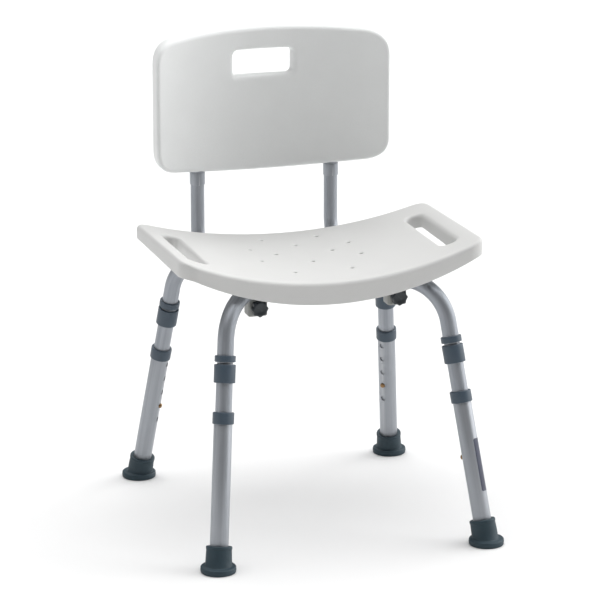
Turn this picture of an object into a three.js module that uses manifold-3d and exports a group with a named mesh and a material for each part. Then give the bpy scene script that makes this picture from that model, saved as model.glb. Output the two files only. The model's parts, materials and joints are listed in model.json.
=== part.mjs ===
// Shower chair: a moulded saddle seat and a curved backrest on a crossed-tube aluminium frame.
// Four splayed legs pull off the frame, and their outer tubes slide in one-inch steps that a
// snap button holds. Two thumb knobs under the front of the seat hold the backrest's tubes.
// Millimetres, +Z up. The chair faces -Y and stands on z = 0.

import * as THREE from 'three';
import { mergeVertices } from 'three/addons/utils/BufferGeometryUtils.js';
import Module from 'manifold-3d';

const wasm = await Module();
wasm.setup();

// ---------------------------------------------------------------- driving dimensions

const GAP = 0.3;                 // clearance between two pieces that touch
const PLAY = 0.45;               // radial play of a bore around a tube that isn't turned with it
const WALL = 1.3;                // wall of every aluminium tube

// The overall depth runs from the front feet to the back of the backrest, so the middle of the
// frame lies a little in front of the middle of the chair.
const FRAME_SETBACK = 4.75;

// Legs. A length along a leg is counted from the floor, up the leg's own axis.
const FOOT_X = 216;              // centre of a foot from the middle of the frame
const FOOT_Y = 239;
const LEAN_X = 35;               // how far the leg leans in over LEAN_RISE of height
const LEAN_Y = 78;
const LEAN_RISE = 317;
const OUTER_TUBE_R = 14.3;       // 1 1/8 inch tube that carries the foot
const INNER_TUBE_R = 12.7;       // 1 inch tube of the leg and of the frame
const SPIGOT_R = 10.8;           // swaged end that plugs up into the frame tube
const OUTER_BOTTOM = 8;
const OUTER_TOP = 240;
const INNER_BOTTOM = 104;
const INNER_TOP = 316.5;
const SPIGOT_BOTTOM = 292;
const SPIGOT_TOP = 347;
const FRAME_TUBE_END = 316.8;

// Height holes and the snap button that sits in one of them.
const HOLE_PITCH = 25.4;
const HOLES_BELOW = 1;
const HOLES_ABOVE = 3;
const HOLE_R = 4.3;
const BUTTON_AT = 138.7;
const BUTTON_R = 3.8;
const BUTTON_TIP = 17.3;         // button's tip from the leg's axis
const BUTTON_ROOT = 9.7;
const SPRING_WIDTH = 9;
const SPRING_THICKNESS = 0.8;
const SPRING_DEPTH = 26;         // apex of the spring below the button
const SPRING_END = 6;            // straight ends of the spring, above and below the button

// Collars on the legs.
const LOWER_COLLAR = { bottom: 224.2, top: 242.3, radius: 16.6 };
const WIDE_COLLAR = { bottom: 286.6, top: 314.8, radius: 16.6 };
const NARROW_COLLAR = { bottom: 318.4, top: 328.2, radius: 16.2 };

// Rubber feet.
const FOOT_R = 27.5;
const FOOT_FLANGE = 9.5;
const BOOT_R = 20.3;
const BOOT_TOP = 38.8;
const FOOT_SIDES = 24;

// Frame: two bent tubes that cross, pressed flat, at the middle.
const FRAME_Z = 397;
const FRAME_BEND_R = 76;
const BEND_STEPS = 6;
const CROSSING_HALF = 46;        // where the flattening starts, from the middle
const CROSSING_FLAT = 22;        // where it is complete
const RIVET_R = 4;
const RIVET_HEAD_R = 7.5;
const RIVET_HEAD_HEIGHT = 2.4;

// Seat: a saddle tray, open below.
const SEAT_HALF_X = 244;
const SEAT_HALF_Y = 148;
const SEAT_CORNER_R = 27;
const SEAT_WALL = 4;
const SEAT_TOP_Z = 417;          // top of the seat in the middle
const SEAT_BOTTOM_Z = 382;       // lower edge of the skirt in the middle
const SEAT_TOP_ARC_R = 607;
const SEAT_BOTTOM_ARC_R = 496;
const SEAT_TOP_EASE_X = 232;     // beyond this the rise eases off, until it is level at the ends
const SEAT_BOTTOM_EASE_X = 218;
const SEAT_TILT = THREE.MathUtils.degToRad(1.2);
const REAR_DROP = 10.5;          // the rear corners curl up this much less, at REAR_DROP_X
const LOWER_REAR_DROP = 6;       // and the lower edge of the skirt this much less
const REAR_DROP_X = 200;
const SLOT = { x: 202, y: -3, length: 182, width: 26, wall: 3.5 };
const DRAIN_R = 2.6;
const DRAIN_MIDDLE = [66, -27];  // y of the holes on the centre line
const DRAIN_SIDE = [             // x and y of the mirrored pairs
  [46, 103],
  [46, 20],
  [46, -83],
  [81, 46],
  [81, -20],
];
const SEAT_SCREW_AT = 80;        // seat screws, along each arm of the frame from the middle
const SEAT_BOSS_R = 9;
const SEAT_BOSS_SIDES = 12;
const SCREW_R = 2.4;
const SCREW_HEAD_R = 5;
const SCREW_HEAD_HEIGHT = 3;
const SCREW_HEAD_CHAMFER = 1.2;

// Backrest and its two L-shaped tubes.
const BACK_TUBE_R = 11.1;
const BACK_TUBE_X = 112.5;
const BACK_TUBE_LOW_Z = 372.2;
const BACK_TUBE_TOP = 690;
const BACK_TUBE_FRONT = -101;
const BACK_BEND_R = 45;
const BACK_FRONT_Y = 246;        // front face of the backrest on the centre line
const BACK_FRONT_ARC_R = 305;
const BACK_THICKNESS = 30;
const BACK_WALL = 2.6;
const BACK_HALF_X = 194.5;
const BACK_LOW_MIDDLE = 500;
const BACK_LOW_CORNER = 518;
const BACK_HIGH_MIDDLE = 735;
const BACK_HIGH_CORNER = 729;
const BACK_CORNER = 37;
const HANDLE = { z: 677, length: 101, height: 43, corner: 9 };
const SLEEVE_BOTTOM = 485;
const SLEEVE_TOP = 504.5;
const SLEEVE_R = 12.3;
const BACK_SCREW_Z = 590;

// The backrest's curve is an upright arc, and each tube stands in the middle of its thickness.
const BACK_ARC_CENTRE_Y = BACK_FRONT_Y - BACK_FRONT_ARC_R;
const BACK_MIDDLE_R = BACK_FRONT_ARC_R + BACK_THICKNESS / 2;
const BACK_TUBE_Y = BACK_ARC_CENTRE_Y + Math.sqrt(BACK_MIDDLE_R ** 2 - BACK_TUBE_X ** 2);
const BACK_TUBE_BEARING = Math.asin(BACK_TUBE_X / BACK_MIDDLE_R);

// Cross clamps, where each back tube passes under a frame tube, and the thumb knobs.
const CLAMP_HALF_X = 15.5;
const CLAMP_HALF_Y = 13;
const CLAMP_CORNER = 4;
const CLAMP_BOTTOM = 357;
const CLAMP_TOP = 413;
const STUD_R = 3;
const PLUG_LENGTH = 18;
const KNOB_R = 13.5;
const KNOB_LENGTH = 14;
const KNOB_LOBES = 8;
const KNOB_LOBE_DEPTH = 1.4;
const KNOB_COLLAR_R = 8;

// ---------------------------------------------------------------- finishes

const finish = (name, color, roughness, metalness) =>
  Object.assign(new THREE.MeshStandardMaterial({ color, roughness, metalness }), { name });

const FINISH = {
  seat: () => finish('seat_plastic', 0xe9e9e6, 0.5, 0),
  back: () => finish('back_plastic', 0xcfd3d1, 0.55, 0),
  tube: () => finish('anodised_tube', 0xa7adb6, 0.36, 0.9),
  collar: () => finish('slate_plastic', 0x3c4650, 0.5, 0),
  foot: () => finish('slate_rubber', 0x2d414b, 0.8, 0),
  clamp: () => finish('clamp_plastic', 0x8b8d88, 0.5, 0),
  knob: () => finish('black_plastic', 0x282d32, 0.45, 0),
  spring: () => finish('spring_steel', 0x8c8f92, 0.35, 1),
  button: () => finish('brass_button', 0xb57a3c, 0.4, 0.8),
  screw: () => finish('steel_screw', 0x9a9da0, 0.35, 1),
};

// ---------------------------------------------------------------- solids and booleans

const TURN = Math.PI * 2;
const ROUND = 16;                // sides of a tube
const SMALL_ROUND = 8;           // sides of a pin or a screw
const THROUGH = 300;             // reach of a tool that cuts right through

/** Closed geometry as a solid that can be joined and cut. */
function toSolid(geometry) {
  const bare = geometry.clone();
  bare.deleteAttribute('normal');
  bare.deleteAttribute('uv');
  const merged = mergeVertices(bare, 1e-4);
  return new wasm.Manifold(new wasm.Mesh({
    numProp: 3,
    vertProperties: new Float32Array(merged.attributes.position.array),
    triVerts: new Uint32Array(merged.index.array),
  }));
}

function toGeometry(solid) {
  const mesh = solid.getMesh();
  const geometry = new THREE.BufferGeometry();
  geometry.setAttribute('position', new THREE.BufferAttribute(mesh.vertProperties, 3));
  geometry.setIndex(new THREE.BufferAttribute(mesh.triVerts, 1));
  const flat = geometry.toNonIndexed();
  flat.computeVertexNormals();
  return flat;
}

function join(...geometries) {
  const whole = geometries.map(toSolid).reduce((joined, next) => joined.add(next));
  return toGeometry(whole);
}

function cut(geometry, ...tools) {
  const left = tools.map(toSolid).reduce((whole, tool) => whole.subtract(tool), toSolid(geometry));
  return toGeometry(left);
}

function common(a, b) {
  return toGeometry(toSolid(a).intersect(toSolid(b)));
}

// ---------------------------------------------------------------- basic shapes

/** Ring or rod about +Z. A rod has no bore. */
function ring(outer, bore, bottom, top, sides = ROUND) {
  const profile = [
    new THREE.Vector2(bore, bottom),
    new THREE.Vector2(outer, bottom),
    new THREE.Vector2(outer, top),
    new THREE.Vector2(bore, top),
  ];
  if (bore > 0) profile.push(profile[0].clone());
  return new THREE.LatheGeometry(profile, sides).rotateX(Math.PI / 2);
}

const rod = (radius, bottom, top, sides = ROUND) => ring(radius, 0, bottom, top, sides);

/** Ring or rod about +Z from [radius, height] pairs that start and end on the axis or close up. */
function turned(profile, sides = ROUND) {
  const points = profile.map(([radius, height]) => new THREE.Vector2(radius, height));
  return new THREE.LatheGeometry(points, sides).rotateX(Math.PI / 2);
}

function circleShape(radius) {
  return new THREE.Shape().absarc(0, 0, radius, 0, TURN, false);
}

function roundedRectangle(halfX, halfY, corner) {
  const shape = new THREE.Shape();
  shape.absarc(halfX - corner, -halfY + corner, corner, -Math.PI / 2, 0, false);
  shape.absarc(halfX - corner, halfY - corner, corner, 0, Math.PI / 2, false);
  shape.absarc(-halfX + corner, halfY - corner, corner, Math.PI / 2, Math.PI, false);
  shape.absarc(-halfX + corner, -halfY + corner, corner, Math.PI, Math.PI * 1.5, false);
  shape.closePath();
  return shape;
}

/** Shape drawn in X and Y, raised from one height to another. */
function raised(shape, bottom, top, curveSegments = 6) {
  const options = { depth: top - bottom, bevelEnabled: false, curveSegments };
  return new THREE.ExtrudeGeometry(shape, options).translate(0, 0, bottom);
}

/** Shape drawn in X and Z, extruded along Y from one depth to another. */
function deepened(shape, front, rear, curveSegments = 6) {
  const options = { depth: rear - front, bevelEnabled: false, curveSegments };
  return new THREE.ExtrudeGeometry(shape, options).rotateX(Math.PI / 2).translate(0, rear, 0);
}

// ---------------------------------------------------------------- tubes along a bent route

/** Curve that is sampled exactly at its own stations, so that straights need no extra steps. */
class StationCurve extends THREE.Curve {
  constructor(stations) {
    super();
    this.stations = stations;
  }

  at(u) {
    return this.stations[Math.round(u * (this.stations.length - 1))];
  }

  getPoint(u) {
    return this.at(u).point.clone();
  }

  getPointAt(u) {
    return this.getPoint(u);
  }

  getTangentAt(u) {
    return this.at(u).tangent.clone();
  }
}

/** Stations along a route of straight runs whose corners are bent to one radius. */
function bentRoute(corners, radius, stepsPerBend) {
  const stations = [];
  const heading = (a, b) => b.clone().sub(a).normalize();
  stations.push({ point: corners[0], tangent: heading(corners[0], corners[1]) });
  for (let i = 1; i < corners.length - 1; i += 1) {
    const before = heading(corners[i - 1], corners[i]);
    const after = heading(corners[i], corners[i + 1]);
    const turn = before.angleTo(after);
    if (turn < 1e-3) {
      stations.push({ point: corners[i], tangent: after });
      continue;
    }
    const start = corners[i].clone().addScaledVector(before, -radius * Math.tan(turn / 2));
    const inward = after.clone().addScaledVector(before, -before.dot(after)).normalize();
    for (let step = 0; step <= stepsPerBend; step += 1) {
      const angle = turn * step / stepsPerBend;
      const point = start.clone()
        .addScaledVector(before, radius * Math.sin(angle))
        .addScaledVector(inward, radius * (1 - Math.cos(angle)));
      const tangent = before.clone()
        .multiplyScalar(Math.cos(angle))
        .addScaledVector(inward, Math.sin(angle));
      stations.push({ point, tangent });
    }
  }
  const last = corners.length - 1;
  stations.push({ point: corners[last], tangent: heading(corners[last - 1], corners[last]) });
  return stations;
}

function bentTube(stations, outer, bore) {
  const section = circleShape(outer);
  section.holes.push(new THREE.Path().absarc(0, 0, bore, 0, TURN, true));
  return new THREE.ExtrudeGeometry(section, {
    steps: stations.length - 1,
    extrudePath: new StationCurve(stations),
    curveSegments: ROUND / 2,
  });
}

// ---------------------------------------------------------------- corners of the chair

const CORNERS = [
  { name: 'front_left', sx: -1, sy: -1 },
  { name: 'front_right', sx: 1, sy: -1 },
  { name: 'back_left', sx: -1, sy: 1 },
  { name: 'back_right', sx: 1, sy: 1 },
];

const footAt = ({ sx, sy }) => new THREE.Vector3(sx * FOOT_X, sy * FOOT_Y, 0);

/** Unit vector up the leg. */
const legAxis = ({ sx, sy }) => new THREE.Vector3(-sx * LEAN_X, -sy * LEAN_Y, LEAN_RISE).normalize();

const pointOnLeg = (corner, length) => footAt(corner).addScaledVector(legAxis(corner), length);

/** Where the leg's axis would meet the level of the frame tubes. */
function kneeOf(corner) {
  const axis = legAxis(corner);
  return footAt(corner).addScaledVector(axis, FRAME_Z / axis.z);
}

/** Turn that stands +Z along the leg, with +X towards the middle of the chair. */
function legTurn(corner) {
  const up = legAxis(corner);
  const knee = kneeOf(corner);
  const inward = new THREE.Vector3(-knee.x, -knee.y, 0).normalize();
  const across = new THREE.Vector3().crossVectors(up, inward).normalize();
  const towards = new THREE.Vector3().crossVectors(across, up);
  return new THREE.Matrix4().makeBasis(towards, across, up);
}

const kneeDistance = Math.hypot(kneeOf(CORNERS[1]).x, kneeOf(CORNERS[1]).y);

/** Point on an arm of the frame, counted from the middle towards a corner. */
function pointOnArm(corner, distance) {
  const knee = kneeOf(corner);
  return new THREE.Vector3(knee.x, knee.y, 0).multiplyScalar(distance / kneeDistance).setZ(FRAME_Z);
}

// ---------------------------------------------------------------- legs

function holePositions() {
  const positions = [];
  for (let step = -HOLES_BELOW; step <= HOLES_ABOVE; step += 1) {
    positions.push(BUTTON_AT + step * HOLE_PITCH);
  }
  return positions;
}

/** Hole through the wall of a leg that faces the middle of the chair. */
function wallHole(radius, height) {
  return rod(radius, 0, OUTER_TUBE_R + 5, SMALL_ROUND).rotateY(Math.PI / 2).translate(0, 0, height);
}

function outerTube() {
  const tube = ring(OUTER_TUBE_R, OUTER_TUBE_R - WALL, OUTER_BOTTOM, OUTER_TOP);
  return cut(tube, ...holePositions().map((height) => wallHole(HOLE_R, height)));
}

function innerTube() {
  const tube = join(
    ring(INNER_TUBE_R, INNER_TUBE_R - WALL, INNER_BOTTOM, INNER_TOP),
    ring(SPIGOT_R, SPIGOT_R - WALL, SPIGOT_BOTTOM, SPIGOT_TOP),
    ring(INNER_TUBE_R - WALL / 2, SPIGOT_R - WALL, SPIGOT_BOTTOM, INNER_TOP),
  );
  return cut(tube, wallHole(HOLE_R, BUTTON_AT));
}

function lowerCollar() {
  const { bottom, top, radius } = LOWER_COLLAR;
  const lip = OUTER_TOP + GAP;
  return turned([
    [OUTER_TUBE_R + GAP, bottom],
    [radius, bottom],
    [radius, top],
    [INNER_TUBE_R + GAP, top],
    [INNER_TUBE_R + GAP, lip],
    [OUTER_TUBE_R + GAP, lip],
    [OUTER_TUBE_R + GAP, bottom],
  ]);
}

const wideCollar = () => ring(WIDE_COLLAR.radius, INNER_TUBE_R + GAP, WIDE_COLLAR.bottom, WIDE_COLLAR.top);

const frameCollar = () =>
  ring(NARROW_COLLAR.radius, INNER_TUBE_R + PLAY, NARROW_COLLAR.bottom, NARROW_COLLAR.top);

/** Rubber foot: a level flange on the floor, and a boot that leans with the leg. */
function foot(corner) {
  const turn = legTurn(corner);
  const chamfer = 2.5;
  const flange = turned([
    [0, 0],
    [FOOT_R, 0],
    [FOOT_R, FOOT_FLANGE - chamfer],
    [FOOT_R - chamfer, FOOT_FLANGE],
    [0, FOOT_FLANGE],
  ], FOOT_SIDES);
  const rim = 2;
  const boot = turned([
    [0, OUTER_BOTTOM - rim],
    [BOOT_R, OUTER_BOTTOM - rim],
    [BOOT_R - rim / 2, BOOT_TOP],
    [0, BOOT_TOP],
  ]).applyMatrix4(turn);
  const socket = rod(OUTER_TUBE_R + GAP, OUTER_BOTTOM - GAP, BOOT_TOP + 5).applyMatrix4(turn);
  const belowFloor = rod(FOOT_R * 2, -FOOT_R, 0);
  return cut(join(flange, boot), socket, belowFloor);
}

function snapButton() {
  const chamfer = 1.4;
  const pin = turned([
    [0, BUTTON_ROOT],
    [BUTTON_R, BUTTON_ROOT],
    [BUTTON_R, BUTTON_TIP - chamfer],
    [BUTTON_R - chamfer, BUTTON_TIP],
    [0, BUTTON_TIP],
  ], SMALL_ROUND);
  return pin.rotateY(Math.PI / 2).translate(0, 0, BUTTON_AT);
}

/** V-shaped leaf spring inside the leg, behind the button. */
function buttonSpring() {
  const nearX = BUTTON_ROOT - GAP;
  const farX = -nearX;
  const apexZ = BUTTON_AT - SPRING_DEPTH;
  const topZ = BUTTON_AT + SPRING_END;
  const bendZ = BUTTON_AT - SPRING_END;
  const t = SPRING_THICKNESS;
  const outline = new THREE.Shape([
    new THREE.Vector2(nearX, topZ),
    new THREE.Vector2(nearX - t, topZ),
    new THREE.Vector2(nearX - t, bendZ),
    new THREE.Vector2(0, apexZ + 2 * t),
    new THREE.Vector2(farX + t, bendZ),
    new THREE.Vector2(farX + t, topZ),
    new THREE.Vector2(farX, topZ),
    new THREE.Vector2(farX, bendZ),
    new THREE.Vector2(-t, apexZ),
    new THREE.Vector2(t, apexZ),
    new THREE.Vector2(nearX, bendZ),
  ]);
  return deepened(outline, -SPRING_WIDTH / 2, SPRING_WIDTH / 2);
}

// ---------------------------------------------------------------- frame

/** Presses the middle of a frame tube flat, into the upper or the lower half of its height. */
function pressFlat(geometry, side) {
  const position = geometry.attributes.position;
  for (let i = 0; i < position.count; i += 1) {
    const fromMiddle = Math.hypot(position.getX(i), position.getY(i));
    const press = 1 - THREE.MathUtils.smoothstep(fromMiddle, CROSSING_FLAT, CROSSING_HALF);
    const height = position.getZ(i) - FRAME_Z;
    const half = INNER_TUBE_R - GAP;
    const pressed = side * (GAP / 2 + half / 2) + height / INNER_TUBE_R * half / 2;
    position.setZ(i, FRAME_Z + THREE.MathUtils.lerp(height, pressed, press));
  }
  return geometry;
}

function frameTube(cornerA, cornerB, side) {
  const flats = [1, 0.5, 0];
  const middleStations = flats.map((f) => THREE.MathUtils.lerp(CROSSING_FLAT, CROSSING_HALF, f));
  const corners = [
    pointOnLeg(cornerA, FRAME_TUBE_END),
    kneeOf(cornerA),
    ...middleStations.map((distance) => pointOnArm(cornerA, distance)),
    ...middleStations.reverse().map((distance) => pointOnArm(cornerB, distance)),
    kneeOf(cornerB),
    pointOnLeg(cornerB, FRAME_TUBE_END),
  ];
  const stations = bentRoute(corners, FRAME_BEND_R, BEND_STEPS);
  const tube = pressFlat(bentTube(stations, INNER_TUBE_R, INNER_TUBE_R - WALL), side);
  const beyond = 2 * INNER_TUBE_R;
  const screwHoles = [cornerA, cornerB].map((corner) => {
    const at = pointOnArm(corner, SEAT_SCREW_AT);
    return rod(SCREW_R + GAP, -beyond, beyond, SMALL_ROUND).translate(at.x, at.y, at.z);
  });
  const rivetHole = rod(RIVET_R + GAP, FRAME_Z - beyond, FRAME_Z + beyond, SMALL_ROUND);
  return cut(tube, ...screwHoles, rivetHole);
}

function crossRivet() {
  const reach = INNER_TUBE_R + GAP;
  const head = RIVET_HEAD_HEIGHT;
  return turned([
    [0, FRAME_Z - reach - head],
    [RIVET_HEAD_R - 2, FRAME_Z - reach - head],
    [RIVET_HEAD_R, FRAME_Z - reach],
    [RIVET_R, FRAME_Z - reach],
    [RIVET_R, FRAME_Z + reach],
    [RIVET_HEAD_R, FRAME_Z + reach],
    [RIVET_HEAD_R - 2, FRAME_Z + reach + head],
    [0, FRAME_Z + reach + head],
  ], SMALL_ROUND);
}

function seatScrew(corner) {
  const at = pointOnArm(corner, SEAT_SCREW_AT);
  const under = FRAME_Z - INNER_TUBE_R - GAP;
  const screw = turned([
    [0, under - SCREW_HEAD_HEIGHT],
    [SCREW_HEAD_R - SCREW_HEAD_CHAMFER, under - SCREW_HEAD_HEIGHT],
    [SCREW_HEAD_R, under],
    [SCREW_R, under],
    [SCREW_R, SEAT_TOP_Z - 4],
    [0, SEAT_TOP_Z - 4],
  ], SMALL_ROUND);
  return screw.translate(at.x, at.y, 0);
}

// ---------------------------------------------------------------- seat

/** Height gained at x by a surface that bows up towards the seat's ends and then eases off. */
function saddleRise(x, radius, easeX) {
  const distance = Math.abs(x);
  const arcRise = (d) => radius - Math.sqrt(radius * radius - d * d);
  if (distance <= easeX) return arcRise(distance);
  const slope = easeX / Math.sqrt(radius * radius - easeX * easeX);
  const run = SEAT_HALF_X - easeX;
  const beyond = Math.min(distance - easeX, run);
  return arcRise(easeX) + slope * (beyond - beyond * beyond / (2 * run));
}

const seatTopRise = (x) => saddleRise(x, SEAT_TOP_ARC_R, SEAT_TOP_EASE_X);

const seatBottomRise = (x) => saddleRise(x, SEAT_BOTTOM_ARC_R, SEAT_BOTTOM_EASE_X);

/** Everything between two bowed surfaces, deeper and longer than the seat. */
function saddle(bottomZ, topZ) {
  const margin = 20;
  const reach = SEAT_HALF_X + margin;
  const steps = 20;
  const line = (z, rise) => {
    const points = [];
    for (let i = 0; i <= steps; i += 1) {
      const x = THREE.MathUtils.lerp(-reach, reach, i / steps);
      points.push(new THREE.Vector2(x, z + rise(x)));
    }
    return points;
  };
  const outline = new THREE.Shape([
    ...line(bottomZ, seatBottomRise),
    ...line(topZ, seatTopRise).reverse(),
  ]);
  const slab = deepened(outline, -SEAT_HALF_Y - margin, SEAT_HALF_Y + margin);
  return slab.translate(0, 0, -SEAT_TOP_Z).rotateX(SEAT_TILT).translate(0, 0, SEAT_TOP_Z);
}

/** Lowers the rear corners, which curl up less than the front ones. The skirt gets lower there. */
function dropRearCorners(geometry) {
  const position = geometry.attributes.position;
  const lowerPart = 0.8;
  for (let i = 0; i < position.count; i += 1) {
    const x = position.getX(i);
    const y = position.getY(i);
    const z = position.getZ(i);
    const bottom = SEAT_BOTTOM_Z + seatBottomRise(x);
    const height = SEAT_TOP_Z + seatTopRise(x) - bottom;
    const above = (z - y * Math.sin(SEAT_TILT) - bottom) / (height * lowerPart);
    const drop = THREE.MathUtils.lerp(LOWER_REAR_DROP, REAR_DROP, THREE.MathUtils.clamp(above, 0, 1));
    const across = x / REAR_DROP_X;
    const back = (y + SEAT_HALF_Y) / (2 * SEAT_HALF_Y);
    position.setZ(i, z - drop * across * across * back);
  }
  geometry.computeVertexNormals();
  return geometry;
}

function slotShape(side, grow) {
  const halfWidth = SLOT.width / 2 + grow;
  const shape = roundedRectangle(halfWidth, SLOT.length / 2 + grow, halfWidth - 1);
  const points = shape.getPoints(5);
  return new THREE.Shape(points.map((p) => new THREE.Vector2(p.x + side * SLOT.x, p.y + SLOT.y)));
}

function seatPanel() {
  const low = FRAME_Z - 80;
  const high = FRAME_Z + 120;
  const outline = roundedRectangle(SEAT_HALF_X, SEAT_HALF_Y, SEAT_CORNER_R);
  const inset = roundedRectangle(
    SEAT_HALF_X - SEAT_WALL, SEAT_HALF_Y - SEAT_WALL, SEAT_CORNER_R - SEAT_WALL);
  const whole = saddle(SEAT_BOTTOM_Z, SEAT_TOP_Z);
  const under = saddle(low, SEAT_TOP_Z - SEAT_WALL);
  const tray = cut(common(whole, raised(outline, low, high)), common(under, raised(inset, low, high)));

  const sides = [-1, 1];
  const slotWalls = sides.map((side) => common(whole, raised(slotShape(side, SLOT.wall), low, high)));
  const bosses = CORNERS.map((corner) => {
    const at = pointOnArm(corner, SEAT_SCREW_AT);
    const post = rod(SEAT_BOSS_R, FRAME_Z + INNER_TUBE_R + GAP, high, SEAT_BOSS_SIDES);
    return common(dropRearCorners(whole.clone()), post.translate(at.x, at.y, 0));
  });
  const screwHoles = CORNERS.map((corner) => {
    const at = pointOnArm(corner, SEAT_SCREW_AT);
    return rod(SCREW_R + GAP, FRAME_Z, SEAT_TOP_Z - 4 + GAP, SMALL_ROUND).translate(at.x, at.y, 0);
  });
  const slots = sides.map((side) => raised(slotShape(side, 0), low, high));
  const drains = [
    ...DRAIN_MIDDLE.map((y) => [0, y]),
    ...DRAIN_SIDE.flatMap(([x, y]) => [[x, y], [-x, y]]),
  ].map(([x, y]) => rod(DRAIN_R, low, high, SMALL_ROUND).translate(x, y, 0));
  const moulding = dropRearCorners(cut(join(tray, ...slotWalls), ...slots, ...drains));
  return cut(join(moulding, ...bosses), ...screwHoles);
}

// ---------------------------------------------------------------- backrest

/** Outline of the backrest in X and Z: crowned edges above and below, with rounded corners. */
function backOutline(inset) {
  const halfX = BACK_HALF_X - inset;
  const c = BACK_CORNER - inset / 2;
  const lowMiddle = BACK_LOW_MIDDLE + inset;
  const lowCorner = BACK_LOW_CORNER + inset;
  const highMiddle = BACK_HIGH_MIDDLE - inset;
  const highCorner = BACK_HIGH_CORNER - inset;
  const edgeX = halfX - c;
  const shape = new THREE.Shape();
  const lowEnd = lowCorner - (lowCorner - lowMiddle) * 0.25;
  const highEnd = highCorner + (highMiddle - highCorner) * 0.25;
  shape.moveTo(-edgeX, lowEnd);
  shape.quadraticCurveTo(0, 2 * lowMiddle - lowEnd, edgeX, lowEnd);
  shape.quadraticCurveTo(halfX, lowCorner + 2, halfX, lowCorner + c);
  shape.lineTo(halfX, highCorner - c);
  shape.quadraticCurveTo(halfX, highCorner - 1, edgeX, highEnd);
  shape.quadraticCurveTo(0, 2 * highMiddle - highEnd, -edgeX, highEnd);
  shape.quadraticCurveTo(-halfX, highCorner - 1, -halfX, highCorner - c);
  shape.lineTo(-halfX, lowCorner + c);
  shape.quadraticCurveTo(-halfX, lowCorner + 2, -edgeX, lowEnd);
  return shape;
}

/** Upright slab, bent to an arc whose hollow side faces the front. */
function curvedSlab(frontR, rearR, bottom, top) {
  const half = Math.asin((BACK_HALF_X + 15) / BACK_FRONT_ARC_R);
  const shape = new THREE.Shape();
  shape.absarc(0, BACK_ARC_CENTRE_Y, rearR, Math.PI / 2 - half, Math.PI / 2 + half, false);
  shape.absarc(0, BACK_ARC_CENTRE_Y, frontR, Math.PI / 2 + half, Math.PI / 2 - half, true);
  shape.closePath();
  return raised(shape, bottom, top, 10);
}

function handleShape(grow) {
  const { z, length, height, corner } = HANDLE;
  const shape = roundedRectangle(length / 2 + grow, height / 2 + grow, corner + grow);
  return new THREE.Shape(shape.getPoints(4).map((p) => new THREE.Vector2(p.x, p.y + z)));
}

/** Turns a shape that lies along +Y, from the arc's centre, to where a back tube stands. */
function toBackTube(geometry, side) {
  return geometry.rotateX(-Math.PI / 2)
    .rotateZ(-side * BACK_TUBE_BEARING)
    .translate(0, BACK_ARC_CENTRE_Y, BACK_SCREW_Z);
}

function backScrewHole(side) {
  const outside = BACK_MIDDLE_R + BACK_THICKNESS;
  return toBackTube(rod(SCREW_R + GAP, BACK_MIDDLE_R, outside, SMALL_ROUND), side);
}

function backPanel() {
  const front = BACK_FRONT_Y - 120;
  const rear = BACK_FRONT_Y + 60;
  const rearR = BACK_FRONT_ARC_R + BACK_THICKNESS;
  const outer = common(
    deepened(backOutline(0), front, rear),
    curvedSlab(BACK_FRONT_ARC_R, rearR, BACK_LOW_MIDDLE - 20, BACK_HIGH_MIDDLE + 20),
  );
  const hollow = common(
    deepened(backOutline(BACK_WALL), front, rear),
    curvedSlab(BACK_FRONT_ARC_R + BACK_WALL, rearR - BACK_WALL, BACK_LOW_MIDDLE, BACK_HIGH_MIDDLE),
  );
  const slab = curvedSlab(BACK_FRONT_ARC_R, rearR, BACK_LOW_MIDDLE, BACK_HIGH_MIDDLE);
  const handleWall = common(slab, deepened(handleShape(BACK_WALL), front, rear));
  const handle = deepened(handleShape(0), front, rear);
  const tubeHoles = [-1, 1].map((side) => {
    const hole = rod(BACK_TUBE_R + PLAY, BACK_LOW_MIDDLE - 10, BACK_LOW_MIDDLE + 40);
    return hole.translate(side * BACK_TUBE_X, BACK_TUBE_Y, 0);
  });
  const screwHoles = [-1, 1].map((side) => backScrewHole(side));
  return cut(join(cut(outer, hollow), handleWall), handle, ...tubeHoles, ...screwHoles);
}

function backTube(side) {
  const x = side * BACK_TUBE_X;
  const stations = bentRoute([
    new THREE.Vector3(x, BACK_TUBE_FRONT, BACK_TUBE_LOW_Z),
    new THREE.Vector3(x, BACK_TUBE_Y, BACK_TUBE_LOW_Z),
    new THREE.Vector3(x, BACK_TUBE_Y, BACK_TUBE_TOP),
  ], BACK_BEND_R, BEND_STEPS);
  const tube = bentTube(stations, BACK_TUBE_R, BACK_TUBE_R - WALL);
  return cut(tube, backScrewHole(side));
}

function backScrew(side) {
  const head = BACK_MIDDLE_R + BACK_THICKNESS / 2 + GAP;
  const screw = turned([
    [0, BACK_MIDDLE_R + 4],
    [SCREW_R, BACK_MIDDLE_R + 4],
    [SCREW_R, head],
    [SCREW_HEAD_R, head],
    [SCREW_HEAD_R - SCREW_HEAD_CHAMFER, head + SCREW_HEAD_HEIGHT],
    [0, head + SCREW_HEAD_HEIGHT],
  ], SMALL_ROUND);
  return toBackTube(screw, side);
}

function backSleeve(side) {
  const sleeve = ring(SLEEVE_R, BACK_TUBE_R + PLAY, SLEEVE_BOTTOM, SLEEVE_TOP);
  return sleeve.translate(side * BACK_TUBE_X, BACK_TUBE_Y, 0);
}

// ---------------------------------------------------------------- clamps and knobs

/** Y of the point where a back tube passes under an arm of the frame. */
const crossingY = (corner) => kneeOf(corner).y * BACK_TUBE_X / Math.abs(kneeOf(corner).x);

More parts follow.
